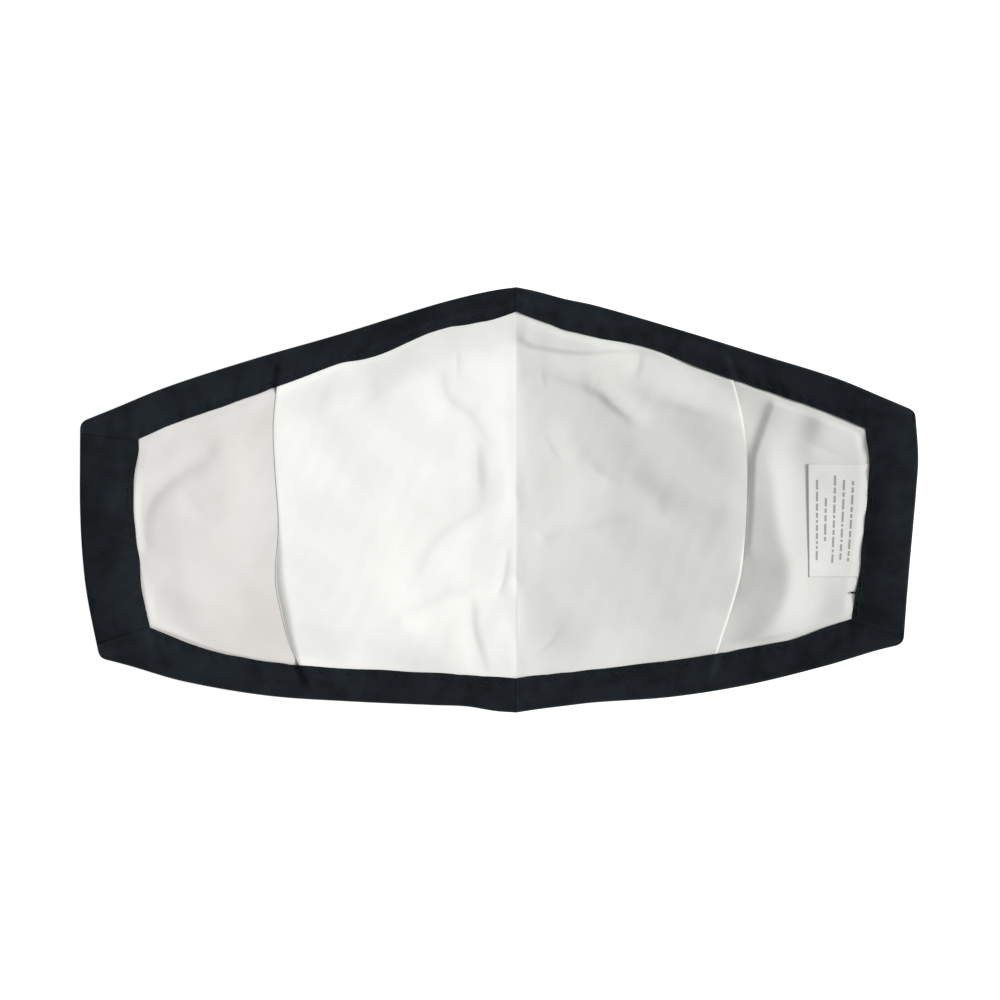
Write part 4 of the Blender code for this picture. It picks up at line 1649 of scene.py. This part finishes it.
@dataclass
class CareLabel:
    """A short tape sewn in under the right casing's inner edge, with its other side free.

    The free side stands off the lining by lift at its top corner. At its bottom corner the share
    curl_loss of that is gone.
    """

    cut: Cut
    relief: Relief
    left: float = 0.0884
    top: float = 0.0103
    height: float = 0.0324
    tuck: float = 0.0012
    level_x: float = 0.1
    slant: float = 0.0003
    lift: float = 0.00014
    lift_power: float = 1.6
    curl_loss: float = 0.9
    wave: float = 0.00008
    clearance: float = 0.00004
    thickness: float = 0.00016
    columns: int = 44
    rows: int = 72
    ink: float = 0.00005
    dash_width: float = 0.032
    shortest_dash: float = 0.022
    dash_spread: float = 0.080
    dash_gap: float = 0.018
    flat: Point = (0.018, 0.0325)
    area: float = 0.00056

    def face(self, across: np.ndarray, down: np.ndarray) -> tuple[np.ndarray, np.ndarray, np.ndarray]:
        """Point on the label's upper face.

        Args:
            across: 0 at the free edge, 1 at the edge under the casing.
            down: 0 at the top, 1 at the bottom.

        Returns:
            x, y and z.
        """
        half = self.cut.right
        y = self.top - self.height * down
        low, high = (self.cut.level(half, np.array(self.level_x), edge) for edge in Edge)
        held = self.cut.line_x(half, np.array(2.0), (y - low) / (high - low)) + self.tuck
        free = self.left + self.slant * down
        x = free + (held - free) * across
        surface = Lining(self.cut, self.relief, half).top(x, y)
        away = 1 - across
        curl = self.lift * away**self.lift_power * (1 - self.curl_loss * ease(down, 0.0, 1.0))
        curl += self.wave * np.sin(3.4 * down + 0.6) * away
        return x, y, surface + self.clearance + self.thickness + curl

    def build(self, material: bpy.types.Material) -> bpy.types.Object:
        """Build the tape and put it in place of its solid.

        Args:
            material: its finish.

        Returns:
            The piece.
        """
        across = np.linspace(0, 1, self.columns)
        down = np.linspace(1, 0, self.rows)
        x, y, z = self.face(*np.meshgrid(across, down, indexing="ij"))
        piece = new_sheet("label_tape", x, y, z - self.thickness, z, True, material)
        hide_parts("care_label")
        return piece

    def build_dashes(self, material: bpy.types.Material) -> bpy.types.Object:
        """Build plain dashes in upright columns, as a printed label has, without letters.

        Args:
            material: the ink.

        Returns:
            The piece.
        """
        random = np.random.default_rng(5)
        points, faces = [], []
        for column in PRINT_COLUMNS:
            down = column.start
            while down < column.end:
                stop = min(down + self.shortest_dash + self.dash_spread * random.random(), column.end)
                first = len(points)
                for row in np.linspace(down, stop, 4):
                    for side in (-0.5, 0.5):
                        across = np.array(column.across + side * self.dash_width)
                        x, y, z = (float(value) for value in self.face(across, np.array(row)))
                        points += [(x, y, z), (x, y, z + self.ink)]
                for a in (first, first + 4, first + 8):
                    faces += [[a + 5, a + 7, a + 3, a + 1], [a + 2, a + 6, a + 4, a],
                              [a + 4, a + 5, a + 1, a], [a + 3, a + 7, a + 6, a + 2]]
                last = first + 12
                faces += [[first + 1, first + 3, first + 2, first], [last + 2, last + 3, last + 1, last]]
                down = stop + self.dash_gap
        piece = new_piece("label_dashes", np.array(points), faces, material)
        piece.data.shade_flat()
        return piece


@dataclass
class Mask:
    """The whole mask, layer by layer."""

    cut: Cut

    def thread_end(self) -> np.ndarray:
        """Lay the thread end that sticks out of the right casing's inner edge.

        Returns:
            Its points.
        """
        half = self.cut.right
        x = np.array([102.6, 101.6, 100.7]) * MM
        y = np.array([-26.2, -26.7, -26.5]) * MM
        z = Lining(self.cut, Relief(self.cut), half).top(x, y) + np.array([1.3, 0.8, 0.4]) * MM
        return np.stack([x, y, z], axis=-1)

    def build(self) -> None:
        relief = Relief(self.cut)
        black = BLACK_POLYESTER.material()
        lining_cotton = {"left": LINING_COTTON_LEFT.material(), "right": LINING_COTTON_RIGHT.material()}
        # The right half's pocket cotton carries painted shade
        pocket_cotton = {"left": POCKET_COTTON_LEFT.material(), "right": POCKET_COTTON_RIGHT_PAINTED_SHADE.material()}
        black_lines, linings = [], {}
        for half in (self.cut.left, self.cut.right):
            outer_cloth = OuterCloth(self.cut, relief, half)
            outer = outer_cloth.build(black)
            lining_cloth = Lining(self.cut, relief, half)
            lining = lining_cloth.build(lining_cotton[half.name])
            linings[half.name] = lining
            pocket_cloth = PocketPanel(self.cut, relief, half)
            pocket = pocket_cloth.build(pocket_cotton[half.name])
            bands = [*(Hem(self.cut, half, edge=edge) for edge in Edge), Casing(self.cut, half)]
            strips = [band.build(black) for band in bands]
            black_lines += [band.stitches() for band in bands]
        thread = BLACK_THREAD.material()
        StitchRow().build("hem_stitches", black_lines, "hem_cloth", thread)
        loose = StitchRow(pitch=0.0010, length=0.0014, radius=0.00028, dip=0.0)
        loose.build("thread_end", [self.thread_end()], "hem_cloth", thread)
        label = CareLabel(self.cut, relief)
        tape = label.build(LABEL_TAPE.material())
        dashes = label.build_dashes(LABEL_INK.material())


@dataclass
class Studio:
    """Light table, soft lights and the camera straight above."""

    floor_size: float = 3.0
    camera_height: float = 3.0
    view_width: float = 0.2864
    focus_height: float = 0.012
    centre: Point = (0.0003, 0.0)
    sun_elevation: float = 34.0
    sun_azimuth: float = 4.0
    sun_spread: float = 20.0
    sun_strength: float = 3.3
    room_light: float = 0.42

    def build_floor(self) -> None:
        """Build the pale table, and mark it as stage."""
        half = self.floor_size / 2
        mesh = bpy.data.meshes.new("light_table")
        corners = [(-half, -half, 0), (half, -half, 0), (half, half, 0), (-half, half, 0)]
        mesh.from_pydata(corners, [], [(0, 1, 2, 3)])
        mesh.materials.append(LIGHT_TABLE.material())
        floor = bpy.data.objects.new("light_table", mesh)
        bpy.context.scene.collection.objects.link(floor)
        floor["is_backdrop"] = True

    def build_lights(self) -> None:
        """Build one broad light from the right and an even light from the room."""
        data = bpy.data.lights.new("soft_key", "SUN")
        data.energy = self.sun_strength
        data.angle = math.radians(self.sun_spread)
        key = bpy.data.objects.new("soft_key", data)
        tilt = math.radians(90 - self.sun_elevation)
        key.rotation_euler = (0.0, tilt, math.radians(self.sun_azimuth))
        bpy.context.scene.collection.objects.link(key)
        world = bpy.data.worlds.new("white_room")
        world.use_nodes = True
        background = world.node_tree.nodes["Background"]
        background.inputs["Color"].default_value = (1.0, 1.0, 1.0, 1.0)
        background.inputs["Strength"].default_value = self.room_light
        bpy.context.scene.world = world
        bpy.context.scene.view_settings.view_transform = "Standard"

    def build_camera(self) -> None:
        """Build the long-lens camera that looks straight down."""
        data = bpy.data.cameras.new("camera")
        data.lens = data.sensor_width * (self.camera_height - self.focus_height) / self.view_width
        data.clip_end = 2 * self.camera_height
        camera = bpy.data.objects.new("camera", data)
        camera.location = (*self.centre, self.camera_height)
        bpy.context.scene.collection.objects.link(camera)
        bpy.context.scene.camera = camera

    def build(self) -> None:
        """Build the whole studio."""
        self.build_camera()
        self.build_floor()
        self.build_lights()


def main() -> None:
    """Load the frame, and build the mask and its studio."""
    logging.basicConfig(level=logging.INFO, format="%(name)s: %(message)s")
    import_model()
    Studio().build()
    Mask(Cut.from_frame()).build()


if __name__ == "__main__":
    main()
